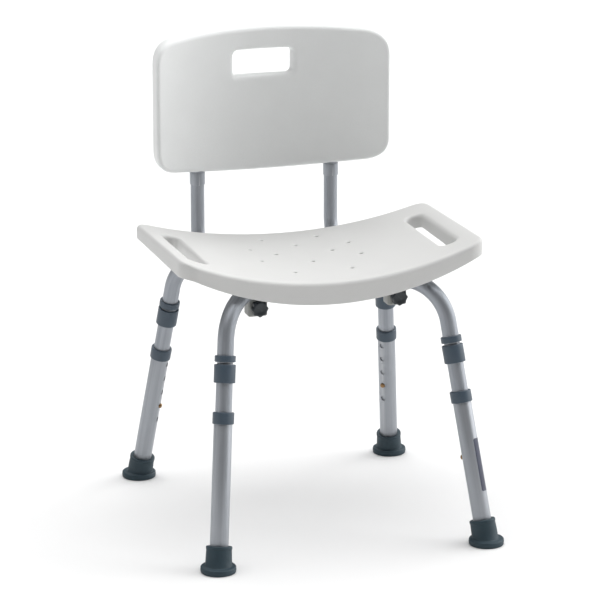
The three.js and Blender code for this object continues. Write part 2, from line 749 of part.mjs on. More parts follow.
/** Moulded block that holds a frame tube above and a back tube below, crossing it. */
function crossClamp(corner) {
  const centre = new THREE.Vector3(corner.sx * BACK_TUBE_X, crossingY(corner), 0);
  const outline = roundedRectangle(CLAMP_HALF_X, CLAMP_HALF_Y, CLAMP_CORNER);
  const block = raised(outline, CLAMP_BOTTOM, CLAMP_TOP, 3).translate(centre.x, centre.y, 0);
  const arm = pointOnArm(corner, 1).setZ(0);
  const frameBore = rod(INNER_TUBE_R + PLAY, -THROUGH, THROUGH)
    .rotateY(Math.PI / 2)
    .rotateZ(Math.atan2(arm.y, arm.x))
    .translate(centre.x, centre.y, FRAME_Z);
  const isFront = corner.sy < 0;
  const boreFront = isFront ? BACK_TUBE_FRONT - GAP : -THROUGH;
  const backBore = rod(BACK_TUBE_R + PLAY, boreFront, THROUGH)
    .rotateX(-Math.PI / 2)
    .translate(centre.x, 0, BACK_TUBE_LOW_Z);
  const studHole = rod(STUD_R + GAP, -THROUGH, 0, SMALL_ROUND)
    .rotateX(-Math.PI / 2)
    .translate(centre.x, 0, BACK_TUBE_LOW_Z);
  return isFront ? cut(block, frameBore, backBore, studHole) : cut(block, frameBore, backBore);
}

/** Threaded plug in the front end of a back tube, which takes the knob's stud. */
function tubePlug(side) {
  const bore = BACK_TUBE_R - WALL;
  const end = BACK_TUBE_FRONT + PLUG_LENGTH;
  return ring(bore - GAP, STUD_R + GAP, BACK_TUBE_FRONT + 0.5, end)
    .rotateX(-Math.PI / 2)
    .translate(side * BACK_TUBE_X, 0, BACK_TUBE_LOW_Z);
}

/** Lobed thumb knob with its stud, in front of the clamp. */
function thumbKnob(side) {
  const seatFace = crossingY(CORNERS[0]) - CLAMP_HALF_Y - GAP;
  const outline = new THREE.Shape();
  const sides = KNOB_LOBES * 3;
  for (let i = 0; i < sides; i += 1) {
    const angle = i / sides * TURN;
    const radius = KNOB_R - KNOB_LOBE_DEPTH / 2 * (1 - Math.cos(angle * KNOB_LOBES));
    const point = [radius * Math.cos(angle), radius * Math.sin(angle)];
    if (i === 0) outline.moveTo(...point);
    else outline.lineTo(...point);
  }
  const head = deepened(outline, seatFace - KNOB_LENGTH + 3, seatFace - 3);
  const cap = deepened(circleShape(KNOB_R - 2.5), seatFace - KNOB_LENGTH, seatFace - 3.5, 10);
  const collar = deepened(circleShape(KNOB_COLLAR_R), seatFace - 4, seatFace, 8);
  const stud = deepened(circleShape(STUD_R), seatFace - 4, BACK_TUBE_FRONT + PLUG_LENGTH - 4, 6);
  return join(head, cap, collar, stud).translate(side * BACK_TUBE_X, 0, BACK_TUBE_LOW_Z);
}

// ---------------------------------------------------------------- assembly

const chair = new THREE.Group();
const assembly = new THREE.Group();
assembly.position.y = -FRAME_SETBACK;
chair.add(assembly);

function place(parent, name, geometry, material) {
  const mesh = new THREE.Mesh(geometry, material);
  mesh.name = name;
  parent.add(mesh);
}

place(assembly, 'seat_panel', seatPanel(), FINISH.seat());
const [FL, FR, BL, BR] = CORNERS;
place(assembly, 'frame_tube_upper', frameTube(FL, BR, 1), FINISH.tube());
place(assembly, 'frame_tube_lower', frameTube(FR, BL, -1), FINISH.tube());
place(assembly, 'frame_cross_rivet', crossRivet(), FINISH.screw());

for (const corner of CORNERS) {
  const { name } = corner;
  place(assembly, `seat_screw_${name}`, seatScrew(corner), FINISH.screw());
  place(assembly, `cross_clamp_${name}`, crossClamp(corner), FINISH.clamp());

  const base = new THREE.Group();
  base.position.copy(footAt(corner));
  assembly.add(base);
  place(base, `foot_${name}`, foot(corner), FINISH.foot());

  const leg = new THREE.Group();
  leg.quaternion.setFromRotationMatrix(legTurn(corner));
  base.add(leg);
  place(leg, `leg_outer_tube_${name}`, outerTube(), FINISH.tube());
  place(leg, `leg_lower_collar_${name}`, lowerCollar(), FINISH.collar());
  place(leg, `leg_inner_tube_${name}`, innerTube(), FINISH.tube());
  place(leg, `leg_wide_collar_${name}`, wideCollar(), FINISH.collar());
  place(leg, `frame_collar_${name}`, frameCollar(), FINISH.collar());
  place(leg, `snap_button_${name}`, snapButton(), FINISH.button());
  place(leg, `button_spring_${name}`, buttonSpring(), FINISH.spring());
}

place(assembly, 'back_panel', backPanel(), FINISH.back());
for (const [name, side] of [['left', -1], ['right', 1]]) {
  place(assembly, `back_tube_${name}`, backTube(side), FINISH.tube());
  place(assembly, `back_sleeve_${name}`, backSleeve(side), FINISH.tube());
  place(assembly, `back_tube_plug_${name}`, tubePlug(side), FINISH.knob());
  place(assembly, `back_screw_${name}`, backScrew(side), FINISH.screw());
  place(assembly, `thumb_knob_${name}`, thumbKnob(side), FINISH.knob());
}

export default chair;
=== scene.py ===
"""Shower chair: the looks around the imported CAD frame.

Smooth, rounded pieces stand for the plain CAD solids, in the same frame and on the same bodies.
Shapes are written in millimetres and turned into metres when a mesh is made. Most of them are drawn
about the middle of the frame, a little in front of the middle of the chair.
"""

import json
import math

import bmesh
import bpy
import numpy as np
from mathutils import Matrix, Vector
from mathutils.geometry import delaunay_2d_cdt


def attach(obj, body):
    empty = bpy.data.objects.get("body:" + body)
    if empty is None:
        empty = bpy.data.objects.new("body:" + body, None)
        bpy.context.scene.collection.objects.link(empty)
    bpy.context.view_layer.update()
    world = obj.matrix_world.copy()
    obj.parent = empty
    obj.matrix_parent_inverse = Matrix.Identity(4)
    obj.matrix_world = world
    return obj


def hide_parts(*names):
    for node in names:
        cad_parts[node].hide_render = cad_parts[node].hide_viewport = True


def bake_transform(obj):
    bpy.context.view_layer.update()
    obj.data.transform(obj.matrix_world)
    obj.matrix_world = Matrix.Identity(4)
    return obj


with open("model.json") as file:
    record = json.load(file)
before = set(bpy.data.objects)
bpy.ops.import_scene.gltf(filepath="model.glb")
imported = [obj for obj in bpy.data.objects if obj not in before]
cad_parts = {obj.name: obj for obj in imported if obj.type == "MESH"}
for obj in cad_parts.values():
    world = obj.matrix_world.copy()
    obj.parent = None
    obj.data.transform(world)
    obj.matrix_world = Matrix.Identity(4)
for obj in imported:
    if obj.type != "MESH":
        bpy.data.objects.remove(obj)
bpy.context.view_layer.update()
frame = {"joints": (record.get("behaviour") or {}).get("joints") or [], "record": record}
record = frame["record"]
joints = {j["name"]: j for j in frame["joints"]}
mounts = {m["name"]: Vector(m["pos_m"]) for m in record["mounts"]}

MM = 0.001
TURN = 2 * math.pi

# ---- camera

CAMERA_AT = Vector((-1.6098, -5.2174, 1.8837))
CAMERA_AIM = Vector((-0.04522, -0.10941, 0.37801))
CAMERA_LENS = 216.6

camera_data = bpy.data.cameras.new("camera")
camera_data.lens = CAMERA_LENS
camera_data.sensor_width = 36
camera_data.clip_start, camera_data.clip_end = 0.1, 1000
camera = bpy.data.objects.new("camera", camera_data)
bpy.context.scene.collection.objects.link(camera)
camera.location = CAMERA_AT
camera.rotation_mode = "QUATERNION"
camera.rotation_quaternion = (CAMERA_AIM - CAMERA_AT).to_track_quat("-Z", "Y")
bpy.context.scene.camera = camera

# ---- where things are

# Sizes, as in the CAD part.
FRAME_Z = 397
FRAME_TUBE_END = 316.8
FRAME_BEND_R = 76
OUTER_R, INNER_R, SPIGOT_R, TUBE_WALL, TUBE_EDGE = 14.3, 12.7, 10.8, 1.3, 0.35
BUTTON_AT, BUTTON_ROOT, BUTTON_TIP, BUTTON_R = 138.7, 9.7, 17.3, 3.8
HOLE_PITCH, HOLE_R = 25.4, 4.3
GAP, PLAY = 0.3, 0.45

CORNERS = ("front_left", "front_right", "back_left", "back_right")
FOOT = {c: mounts[f"foot_{c}_base"] for c in CORNERS}
MIDDLE = sum(FOOT.values(), Vector()) / 4
FRAME_SPACE = Matrix.Translation(MIDDLE)


def leg_axis(corner):
    axis = Vector(joints[f"height_{corner}"]["axis"]).normalized()
    return axis if axis.z > 0 else -axis


def knee(corner):
    """Where the leg's axis meets the level of the frame tubes, in millimetres from the middle."""
    axis = leg_axis(corner)
    return (FOOT[corner] - MIDDLE) / MM + axis * (FRAME_Z / axis.z)


def leg_space(corner):
    """Stands on the middle of the foot's base, +Z along the leg, +X towards the middle of the chair."""
    up = leg_axis(corner)
    inward = -knee(corner)
    inward.z = 0
    across = up.cross(inward.normalized()).normalized()
    towards = across.cross(up)
    turn = Matrix((towards, across, up)).transposed().to_4x4()
    return Matrix.Translation(FOOT[corner]) @ turn


# ---- mesh tools

# Edges that bend by more than this stay sharp.
SHARP, SHARP_MOULDED, SHARP_LOFTED = math.radians(38), math.radians(45), math.radians(50)


def new_piece(name, verts, faces, space=FRAME_SPACE, sharp=SHARP, straight=None):
    """Closed mesh from points in millimetres, welded, with its faces looking outwards.

    straight holds a second place for each point, which the material of a bent tube reads.
    """
    mesh = bpy.data.meshes.new(name)
    mesh.from_pydata([tuple(MM * c for c in v) for v in verts], [], faces)
    if straight:
        attribute = mesh.attributes.new("straight", "FLOAT_VECTOR", "POINT")
        attribute.data.foreach_set("vector", [MM * c for p in straight for c in p])
    piece = bpy.data.objects.new(name, mesh)
    bpy.context.scene.collection.objects.link(piece)
    piece.matrix_world = space
    clean(mesh, sharp)
    return piece


def clean(mesh, sharp):
    bm = bmesh.new()
    bm.from_mesh(mesh)
    bmesh.ops.remove_doubles(bm, verts=bm.verts, dist=1e-7)
    bmesh.ops.dissolve_degenerate(bm, edges=bm.edges, dist=1e-8)
    bmesh.ops.recalc_face_normals(bm, faces=bm.faces)
    bm.to_mesh(mesh)
    bm.free()
    mesh.shade_smooth()
    mesh.set_sharp_from_angle(angle=sharp)


def fillet(corners, closed=True, steps=5):
    """Polyline with rounded corners. Each corner is (a, b) or (a, b, radius)."""
    points, count = [], len(corners)
    for i, corner in enumerate(corners):
        here = Vector(corner[:2])
        radius = corner[2] if len(corner) > 2 else 0
        if radius <= 0 or (not closed and i in (0, count - 1)):
            points.append((here.x, here.y))
            continue
        to_last = (Vector(corners[i - 1][:2]) - here).normalized()
        to_next = (Vector(corners[(i + 1) % count][:2]) - here).normalized()
        half = to_last.angle(to_next) / 2
        centre = here + (to_last + to_next).normalized() * (radius / math.sin(half))
        start = here + to_last * (radius / math.tan(half)) - centre
        end = here + to_next * (radius / math.tan(half)) - centre
        sweep = start.angle(end)
        for k in range(steps + 1):
            t = k / steps
            a = math.sin((1 - t) * sweep) / math.sin(sweep)
            b = math.sin(t * sweep) / math.sin(sweep)
            p = centre + start * a + end * b
            points.append((p.x, p.y))
    return points


def skin(count, sides, closed):
    """Faces between rings of points, which are numbered ring after ring."""
    faces = []
    for k in range(count if closed else count - 1):
        a, b = k * sides, (k + 1) % count * sides
        for i in range(sides):
            j = (i + 1) % sides
            faces.append((a + i, a + j, b + j, b + i))
    return faces


def loft(name, rings, space=FRAME_SPACE, sharp=SHARP):
    """Solid skin over rings with the same number of points, closed by its end rings."""
    verts = [p for ring in rings for p in ring]
    sides = len(rings[0])
    faces = skin(len(rings), sides, False)
    faces.append(tuple(range(sides)))
    faces.append(tuple(range(len(verts) - sides, len(verts))))
    return new_piece(name, verts, faces, space, sharp)


def circle(radius, height, sides):
    angles = [TURN * i / sides for i in range(sides)]
    return [(radius * math.cos(a), radius * math.sin(a), height) for a in angles]


def lathe(name, profile, space=FRAME_SPACE, closed=True, sides=64):
    """Turned about +Z from (radius, height) pairs. An open profile starts and ends on the axis."""
    verts, faces, rows = [], [], []
    for radius, height in profile:
        if radius < 1e-6:
            rows.append([len(verts)] * sides)
            verts.append((0, 0, height))
        else:
            rows.append(list(range(len(verts), len(verts) + sides)))
            verts += circle(radius, height, sides)
    for k in range(len(rows) if closed else len(rows) - 1):
        a, b = rows[k], rows[(k + 1) % len(rows)]
        for i in range(sides):
            j = (i + 1) % sides
            face = list(dict.fromkeys((a[i], a[j], b[j], b[i])))
            if len(face) > 2:
                faces.append(tuple(face))
    return new_piece(name, verts, faces, space)


def stations_along(corners, radius, step, bend_steps):
    """Points and tangents along a route whose corners are bent to one radius."""
    corners = [Vector(c) for c in corners]
    points = [corners[0]]
    for a, here, b in zip(corners, corners[1:], corners[2:]):
        before, after = (here - a).normalized(), (b - here).normalized()
        turn = before.angle(after)
        if turn < 1e-3:
            points.append(here)
            continue
        start = here - before * (radius * math.tan(turn / 2))
        inward = (after - before * before.dot(after)).normalized()
        for k in range(bend_steps + 1):
            along = before * (radius * math.sin(turn * k / bend_steps))
            points.append(start + along + inward * (radius * (1 - math.cos(turn * k / bend_steps))))
    points.append(corners[-1])
    route = [points[0]]
    for a, b in zip(points, points[1:]):
        pieces = max(1, math.ceil((b - a).length / step))
        route += [a.lerp(b, k / pieces) for k in range(1, pieces + 1)]
    return route


def bent_tube(name, route, radius, reshape=None):
    """Hollow tube along a route of points, with its straightened coordinates kept for the material."""
    sides = 48
    tangents = []
    for i in range(len(route)):
        before, after = route[max(i - 1, 0)], route[min(i + 1, len(route) - 1)]
        tangents.append((after - before).normalized())
    across = tangents[0].orthogonal().normalized()
    frames, run = [], 0.0
    for i, point in enumerate(route):
        if i:
            across = tangents[i - 1].rotation_difference(tangents[i]) @ across
            run += (point - route[i - 1]).length
        frames.append((point, tangents[i], across.copy(), tangents[i].cross(across), run))

    def ring(index, r, shift=0.0):
        point, tangent, u, v, s = frames[index]
        out = []
        for i in range(sides):
            c, w = math.cos(TURN * i / sides), math.sin(TURN * i / sides)
            p = point + tangent * shift + u * (r * c) + v * (r * w)
            out.append((p, (r * c, r * w, s + shift)))
        return out

    last = len(route) - 1
    rings = [ring(0, radius - TUBE_EDGE), ring(0, radius, TUBE_EDGE)]
    rings += [ring(i, radius) for i in range(1, last)]
    rings += [ring(last, radius, -TUBE_EDGE), ring(last, radius - TUBE_EDGE)]
    rings += [ring(i, radius - TUBE_WALL) for i in range(last, -1, -1)]
    verts = [reshape(p) if reshape else p for r in rings for p, _ in r]
    straight = [s for r in rings for _, s in r]
    return new_piece(name, verts, skin(len(rings), sides, True), straight=straight)


def cut(piece, *tools, sharp=SHARP):
    """Takes the tools away from a piece, and then removes them."""
    for tool in tools:
        modifier = piece.modifiers.new("cut", "BOOLEAN")
        modifier.operation = "DIFFERENCE"
        modifier.solver = "EXACT"
        modifier.object = tool
    bpy.context.view_layer.update()
    graph = bpy.context.evaluated_depsgraph_get()
    made = bpy.data.meshes.new_from_object(piece.evaluated_get(graph))
    piece.modifiers.clear()
    piece.data = made
    clean(made, sharp)
    for tool in tools:
        bpy.data.objects.remove(tool)


def rod(radius, bottom, top, space, sides=48):
    """Round tool for cutting, along +Z of its space."""
    profile = [(0, bottom), (radius, bottom), (radius, top), (0, top)]
    return lathe("tool", profile, space, closed=False, sides=sides)


# ---- flat regions between loops


def inside(points, loop):
    """Which points lie inside a loop."""
    x, y = points[:, 0], points[:, 1]
    found = np.zeros(len(points), bool)
    for (x0, y0), (x1, y1) in zip(loop, np.roll(loop, -1, axis=0)):
        crosses = (y0 > y) != (y1 > y)
        if y1 != y0:
            found ^= crosses & (x < (x1 - x0) * (y - y0) / (y1 - y0) + x0)
    return found


def fill_region(outer, holes, spacing):
    """Triangles between an outer loop and its holes, with evenly spread points in between."""
    loops = [np.array(loop, float) for loop in [outer, *holes]]
    points = [p for loop in loops for p in loop]
    edges, base = [], 0
    for loop in loops:
        n = len(loop)
        edges += [(base + i, base + (i + 1) % n) for i in range(n)]
        base += n
    low, high = loops[0].min(0), loops[0].max(0)
    rows = int((high[1] - low[1]) / (spacing * 0.866)) + 2
    columns = int((high[0] - low[0]) / spacing) + 2
    grid = np.array([
        (low[0] + (i + 0.5 * (j % 2)) * spacing, low[1] + j * spacing * 0.866)
        for j in range(rows) for i in range(columns)
    ])
    keep = inside(grid, loops[0])
    for loop in loops[1:]:
        keep &= ~inside(grid, loop)
    border = np.array(points)
    grid = grid[keep]
    near = np.array([np.min(np.hypot(*(border - g).T)) for g in grid])
    grid = grid[near > spacing * 0.55]
    every_point = [Vector(p) for p in [*points, *grid]]
    vertices, _, faces = delaunay_2d_cdt(every_point, edges, [], 0, 1e-5, False)[:3]
    flat = np.array([(v.x, v.y) for v in vertices])
    centres = np.array([flat[list(f)].mean(0) for f in faces])
    keep = inside(centres, loops[0])
    for loop in loops[1:]:
        keep &= ~inside(centres, loop)
    return flat, [f for f, k in zip(faces, keep) if k]


def rounded_rectangle(half_x, half_y, corner, step, corner_steps):
    """(x, y, normal x, normal y) round a rectangle with round corners."""
    out = []
    for cx, cy, start in (
        (half_x - corner, -half_y + corner, -0.25),
        (half_x - corner, half_y - corner, 0),
        (-half_x + corner, half_y - corner, 0.25),
        (-half_x + corner, -half_y + corner, 0.5),
    ):
        for k in range(corner_steps + 1):
            a = TURN * (start + 0.25 * k / corner_steps)
            out.append((cx + corner * math.cos(a), cy + corner * math.sin(a), math.cos(a), math.sin(a)))
    return even(out, step)


def even(loop, step):
    """Adds points along the long straights of a loop."""
    out = []
    for i, (x, y, nx, ny) in enumerate(loop):
        x1, y1, mx, my = loop[(i + 1) % len(loop)]
        pieces = max(1, math.ceil(math.hypot(x1 - x, y1 - y) / step))
        for k in range(pieces):
            t = k / pieces
            n = Vector((nx + (mx - nx) * t, ny + (my - ny) * t)).normalized()
            out.append((x + (x1 - x) * t, y + (y1 - y) * t, n.x, n.y))
    return out


class Shell:
    """Gathers triangles and swept walls, then makes one welded mesh of them."""

    def __init__(self):
        self.verts, self.faces = [], []

    def region(self, outer, holes, spacing, place):
        flat, faces = fill_region(outer, holes, spacing)
        base = len(self.verts)
        self.verts += [place(x, y) for x, y in flat]
        self.faces += [tuple(base + i for i in f) for f in faces]

    def wall(self, rows):
        """Rows of points, each a closed loop, joined one to the next."""
        base, n = len(self.verts), len(rows[0])
        self.verts += [p for row in rows for p in row]
        for k in range(len(rows) - 1):
            for i in range(n):
                j = (i + 1) % n
                a, b = base + k * n, base + (k + 1) * n
                self.faces.append((a + i, a + j, b + j, b + i))

    def piece(self, name, space=FRAME_SPACE, sharp=SHARP_MOULDED):
        return new_piece(name, self.verts, self.faces, space, sharp)


# ---- materials


class Material:
    """Node material around one Principled shader."""

    def __init__(self, name, roughness, metallic=0.0, specular=0.5):
        self.material = bpy.data.materials.new(name)
        self.material.use_nodes = True
        self.nodes = self.material.node_tree.nodes
        self.links = self.material.node_tree.links
        self.shader = next(n for n in self.nodes if n.type == "BSDF_PRINCIPLED")
        self.shader.inputs["Roughness"].default_value = roughness
        self.shader.inputs["Metallic"].default_value = metallic
        self.shader.inputs["Specular IOR Level"].default_value = specular

    def add(self, kind, **values):
        node = self.nodes.new(kind)
        for key, value in values.items():
            if key in node.inputs.keys():
                node.inputs[key].default_value = value
            else:
                setattr(node, key, value)
        return node

    def link(self, a, b):
        self.links.new(a, b)

    def coordinates(self, stretch=(1, 1, 1), attribute=None):
        if attribute:
            source = self.add("ShaderNodeAttribute", attribute_name=attribute).outputs["Vector"]
        else:
            source = self.add("ShaderNodeTexCoord").outputs["Object"]
        mapping = self.add("ShaderNodeMapping")
        mapping.inputs["Scale"].default_value = stretch
        self.link(source, mapping.inputs["Vector"])
        return mapping.outputs["Vector"]

    def noise(self, coordinates, scale, detail=3.0, roughness=0.55):
        node = self.add("ShaderNodeTexNoise", Scale=scale, Detail=detail, Roughness=roughness)
        self.link(coordinates, node.inputs["Vector"])
        return node.outputs["Fac"]

    def spread(self, value, low, high, to_low=0.0, to_high=1.0):
        node = self.add("ShaderNodeMapRange")
        ends = {"From Min": low, "From Max": high, "To Min": to_low, "To Max": to_high}
        for key, number in ends.items():
            node.inputs[key].default_value = number
        self.link(value, node.inputs["Value"])
        return node.outputs["Result"]

    def times(self, a, b):
        node = self.add("ShaderNodeMath", operation="MULTIPLY")
        self.link(a, node.inputs[0])
        self.link(b, node.inputs[1])
        return node.outputs[0]

    def blend(self, factor, a, b):
        """Colour that goes from a to b, where each is a colour or another node's output."""
        node = self.add("ShaderNodeMix", data_type="RGBA")
        self.link(factor, node.inputs["Factor"])
        for value, socket in ((a, node.inputs[6]), (b, node.inputs[7])):
            if isinstance(value, tuple):
                socket.default_value = (*value, 1)
            else:
                self.link(value, socket)
        return node.outputs[2]

    def bump(self, height, distance, strength=1.0):
        node = self.add("ShaderNodeBump", Distance=distance, Strength=strength)
        self.link(height, node.inputs["Height"])
        return node.outputs["Normal"]

    def set(self, socket, value):
        self.link(value, self.shader.inputs[socket])


def shade(colour, factor):
    return tuple(min(1.0, c * factor) for c in colour)


def plastic(name, colour, worn, roughness, grain, depth, mottle, specular=0.5):
    """Moulded plastic or rubber: fine grain, slightly uneven colour, paler along edges and glossier in
    scratches.
    """
    m = Material(name, roughness, specular=specular)
    at = m.coordinates()
    patches = m.spread(m.noise(at, 16, 4), 0.3, 0.7)
    base = m.blend(patches, shade(colour, 1 - mottle), shade(colour, 1 + mottle))
    specks = m.times(m.spread(m.noise(at, 420, 2), 0.35, 0.75), m.spread(patches, 0, 1, 0.3, 0.6))
    base = m.blend(specks, base, shade(colour, 1 - 1.6 * mottle))
    edges = m.spread(m.add("ShaderNodeNewGeometry").outputs["Pointiness"], 0.52, 0.62)
    rubbed = m.times(edges, m.spread(m.noise(at, 90, 5), 0.35, 0.65, 0.15, 0.9))
    m.set("Base Color", m.blend(rubbed, base, worn))
    scratch = m.spread(m.noise(m.coordinates((1, 6, 1)), 130, 5, 0.7), 0.4, 0.75, 0, 0.25)
    m.set("Roughness", m.spread(scratch, 0, 1, roughness, max(0.05, roughness - 0.3)))
    pebbles = m.noise(at, grain, 3, 0.6)
    m.set("Normal", m.bump(pebbles, depth))
    return m.material


def anodised(name, straight):
    """Satin anodised aluminium, drawn lengthwise, with faint draw lines and rubbed patches."""
    m = Material(name, 0.45, metallic=0.7)
    source = "straight" if straight else None
    lengthwise = m.coordinates((1, 1, 0.012), source)
    broad = m.spread(m.noise(lengthwise, 150, 2), 0.3, 0.7)
    fine = m.spread(m.noise(lengthwise, 1500, 3, 0.6), 0.3, 0.7)
    patches = m.spread(m.noise(m.coordinates((1, 1, 1), source), 34, 4), 0.35, 0.7)
    colour = m.blend(broad, (0.29, 0.31, 0.34), (0.41, 0.43, 0.465))
    colour = m.blend(m.spread(fine, 0, 1, 0, 0.5), colour, (0.29, 0.31, 0.34))
    edges = m.spread(m.add("ShaderNodeNewGeometry").outputs["Pointiness"], 0.53, 0.65)
    m.set("Base Color", m.blend(edges, colour, (0.66, 0.67, 0.68)))
    m.set("Roughness", m.spread(m.times(patches, fine), 0, 1, 0.5, 0.4))
    m.set("Normal", m.bump(fine, 0.00001, 0.6))
    return m.material


def metal(name, colour, dark, roughness, stretch=(1, 1, 1)):
    """Plain metal with brushing, tarnish in patches and bright edges."""
    m = Material(name, roughness, metallic=1.0)
    at = m.coordinates()
    tarnish = m.spread(m.noise(at, 260, 4, 0.65), 0.38, 0.72)
    base = m.blend(tarnish, colour, dark)
    edges = m.spread(m.add("ShaderNodeNewGeometry").outputs["Pointiness"], 0.54, 0.66)
    m.set("Base Color", m.blend(edges, base, shade(colour, 1.25)))
    brushed = m.noise(m.coordinates(stretch), 2400, 2)
    m.set("Roughness", m.spread(brushed, 0.3, 0.7, roughness - 0.06, roughness + 0.1))
    m.set("Normal", m.bump(brushed, 0.00001, 0.5))
    return m.material


# Painted shade: the seat and the backrest are one white plastic, and the seat's copy is painted darker
# than the backrest's, a shaded copy of the same material.
SEAT_PAINTED_SHADE = plastic(
    "seat_plastic", (0.60, 0.60, 0.592), worn=(0.64, 0.64, 0.632),
    roughness=0.5, grain=620, depth=0.00006, mottle=0.012, specular=0.4,
)
BACK = plastic(
    "back_plastic", (0.785, 0.797, 0.793), worn=(0.82, 0.83, 0.83),
    roughness=0.52, grain=430, depth=0.00016, mottle=0.02, specular=0.4,
)
TUBE = anodised("anodised_tube", straight=False)
TUBE_BENT = anodised("anodised_tube_bent", straight=True)
SLATE = plastic(
    "slate_plastic", (0.055, 0.08, 0.108), worn=(0.10, 0.13, 0.16),
    roughness=0.46, grain=900, depth=0.00005, mottle=0.08,
)
CLAMP = plastic(
    "clamp_plastic", (0.25, 0.255, 0.24), worn=(0.33, 0.335, 0.32),
    roughness=0.5, grain=800, depth=0.00006, mottle=0.05,
)
RUBBER = plastic(
    "slate_rubber", (0.022, 0.045, 0.06), worn=(0.06, 0.09, 0.11),
    roughness=0.62, grain=700, depth=0.00012, mottle=0.12, specular=0.45,
)
KNOB = plastic(
    "black_plastic", (0.018, 0.024, 0.03), worn=(0.05, 0.06, 0.07),
    roughness=0.42, grain=900, depth=0.00006, mottle=0.1,
)
LABEL = plastic(
    "label_film", (0.035, 0.042, 0.08), worn=(0.07, 0.08, 0.12),
    roughness=0.4, grain=300, depth=0.00001, mottle=0.08,
)
SPRING = metal("spring_steel", (0.55, 0.56, 0.57), (0.40, 0.40, 0.40), 0.32, stretch=(1, 1, 0.05))
BRASS = metal("brass_button", (0.36, 0.23, 0.12), (0.22, 0.13, 0.06), 0.36)
SCREW = metal("steel_screw", (0.58, 0.58, 0.59), (0.40, 0.40, 0.41), 0.3)


def dress(piece, material, body, slot, *nodes):
    """Finish, body and stood-for CAD nodes of a piece."""
    piece.data.materials.clear()
    piece.data.materials.append(material)
    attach(piece, body)
    if nodes:
        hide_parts(*nodes)


# ---- legs

HOLE_STEPS = (-1, 0, 1, 2, 3)
OUTER_LOW, OUTER_TOP = 8, 240
INNER_LOW, SHOULDER, SPIGOT_LOW, SPIGOT_TOP = 104, 315.2, 317.6, 347
LOWER_COLLAR = (224.2, 242.3, 16.6)
WIDE_COLLAR = (286.6, 314.8, 16.6)
NARROW_COLLAR = (318.4, 328.2, 16.2)


def wall_holes(space, radius, heights):
    """Round tools that point from the leg's axis towards the middle of the chair."""
    tools = []
    for height in heights:
        at = space @ Matrix.Translation((0, 0, height * MM)) @ Matrix.Rotation(math.pi / 2, 4, "Y")
        tools.append(rod(radius, 0, OUTER_R + 5, at, 32))
    return tools


def leg(corner):
    space = leg_space(corner)
    leg_body, extension = f"leg_{corner}", f"leg_extension_{corner}"

    bore = OUTER_R - TUBE_WALL
    profile = fillet([
        (bore, OUTER_LOW), (OUTER_R, OUTER_LOW, TUBE_EDGE),
        (OUTER_R, OUTER_TOP, TUBE_EDGE), (bore, OUTER_TOP),
    ], steps=2)
    outer = lathe(f"outer_tube_{corner}", profile, space)
    heights = [BUTTON_AT + HOLE_PITCH * step for step in HOLE_STEPS]
    cut(outer, *wall_holes(space, HOLE_R, heights))
    dress(outer, TUBE, extension, "anodised_tube", f"leg_outer_tube_{corner}")

    inner_bore, spigot_bore = INNER_R - TUBE_WALL, SPIGOT_R - TUBE_WALL
    profile = fillet([
        (inner_bore, INNER_LOW), (INNER_R, INNER_LOW, TUBE_EDGE),
        (INNER_R, SHOULDER, 1.2), (SPIGOT_R, SPIGOT_LOW, 1.2),
        (SPIGOT_R, SPIGOT_TOP, 0.5), (spigot_bore, SPIGOT_TOP),
        (spigot_bore, SPIGOT_LOW - 1.6), (inner_bore, SHOULDER - 2.2),
    ], steps=3)
    inner = lathe(f"inner_tube_{corner}", profile, space)
    cut(inner, *wall_holes(space, HOLE_R, [BUTTON_AT]))
    dress(inner, TUBE, leg_body, "anodised_tube", f"leg_inner_tube_{corner}")

    bottom, top, radius = LOWER_COLLAR
    lip = OUTER_TOP + GAP
    profile = fillet([
        (OUTER_R + GAP, bottom, 0.3), (radius, bottom, 0.9), (radius, top, 1.5),
        (INNER_R + GAP, top, 0.5), (INNER_R + GAP, lip), (OUTER_R + GAP, lip),
    ])
    lower = lathe(f"lower_collar_{corner}", profile, space)
    dress(lower, SLATE, extension, "slate_plastic", f"leg_lower_collar_{corner}")

    for title, (bottom, top, radius), play, body, node in (
        ("wide_collar", WIDE_COLLAR, GAP, leg_body, "leg_wide_collar"),
        ("narrow_collar", NARROW_COLLAR, PLAY, "frame", "frame_collar"),
    ):
        bore = INNER_R + play
        profile = fillet([
            (bore, bottom, 0.4), (radius, bottom, 1.1), (radius, top, 1.1), (bore, top, 0.4),
        ])
        collar = lathe(f"{title}_{corner}", profile, space)
        dress(collar, SLATE, body, "slate_plastic", f"{node}_{corner}")

    inwards = space @ Matrix.Translation((0, 0, BUTTON_AT * MM)) @ Matrix.Rotation(math.pi / 2, 4, "Y")
    profile = fillet(
        [(0, BUTTON_ROOT), (BUTTON_R, BUTTON_ROOT, 0.3), (BUTTON_R, BUTTON_TIP, 1.9), (0, BUTTON_TIP)],
        closed=False, steps=8,
    )
    button = lathe(f"button_{corner}", profile, inwards, closed=False, sides=40)
    dress(button, BRASS, f"button_{corner}", "brass_button", f"snap_button_{corner}")
    foot(corner)


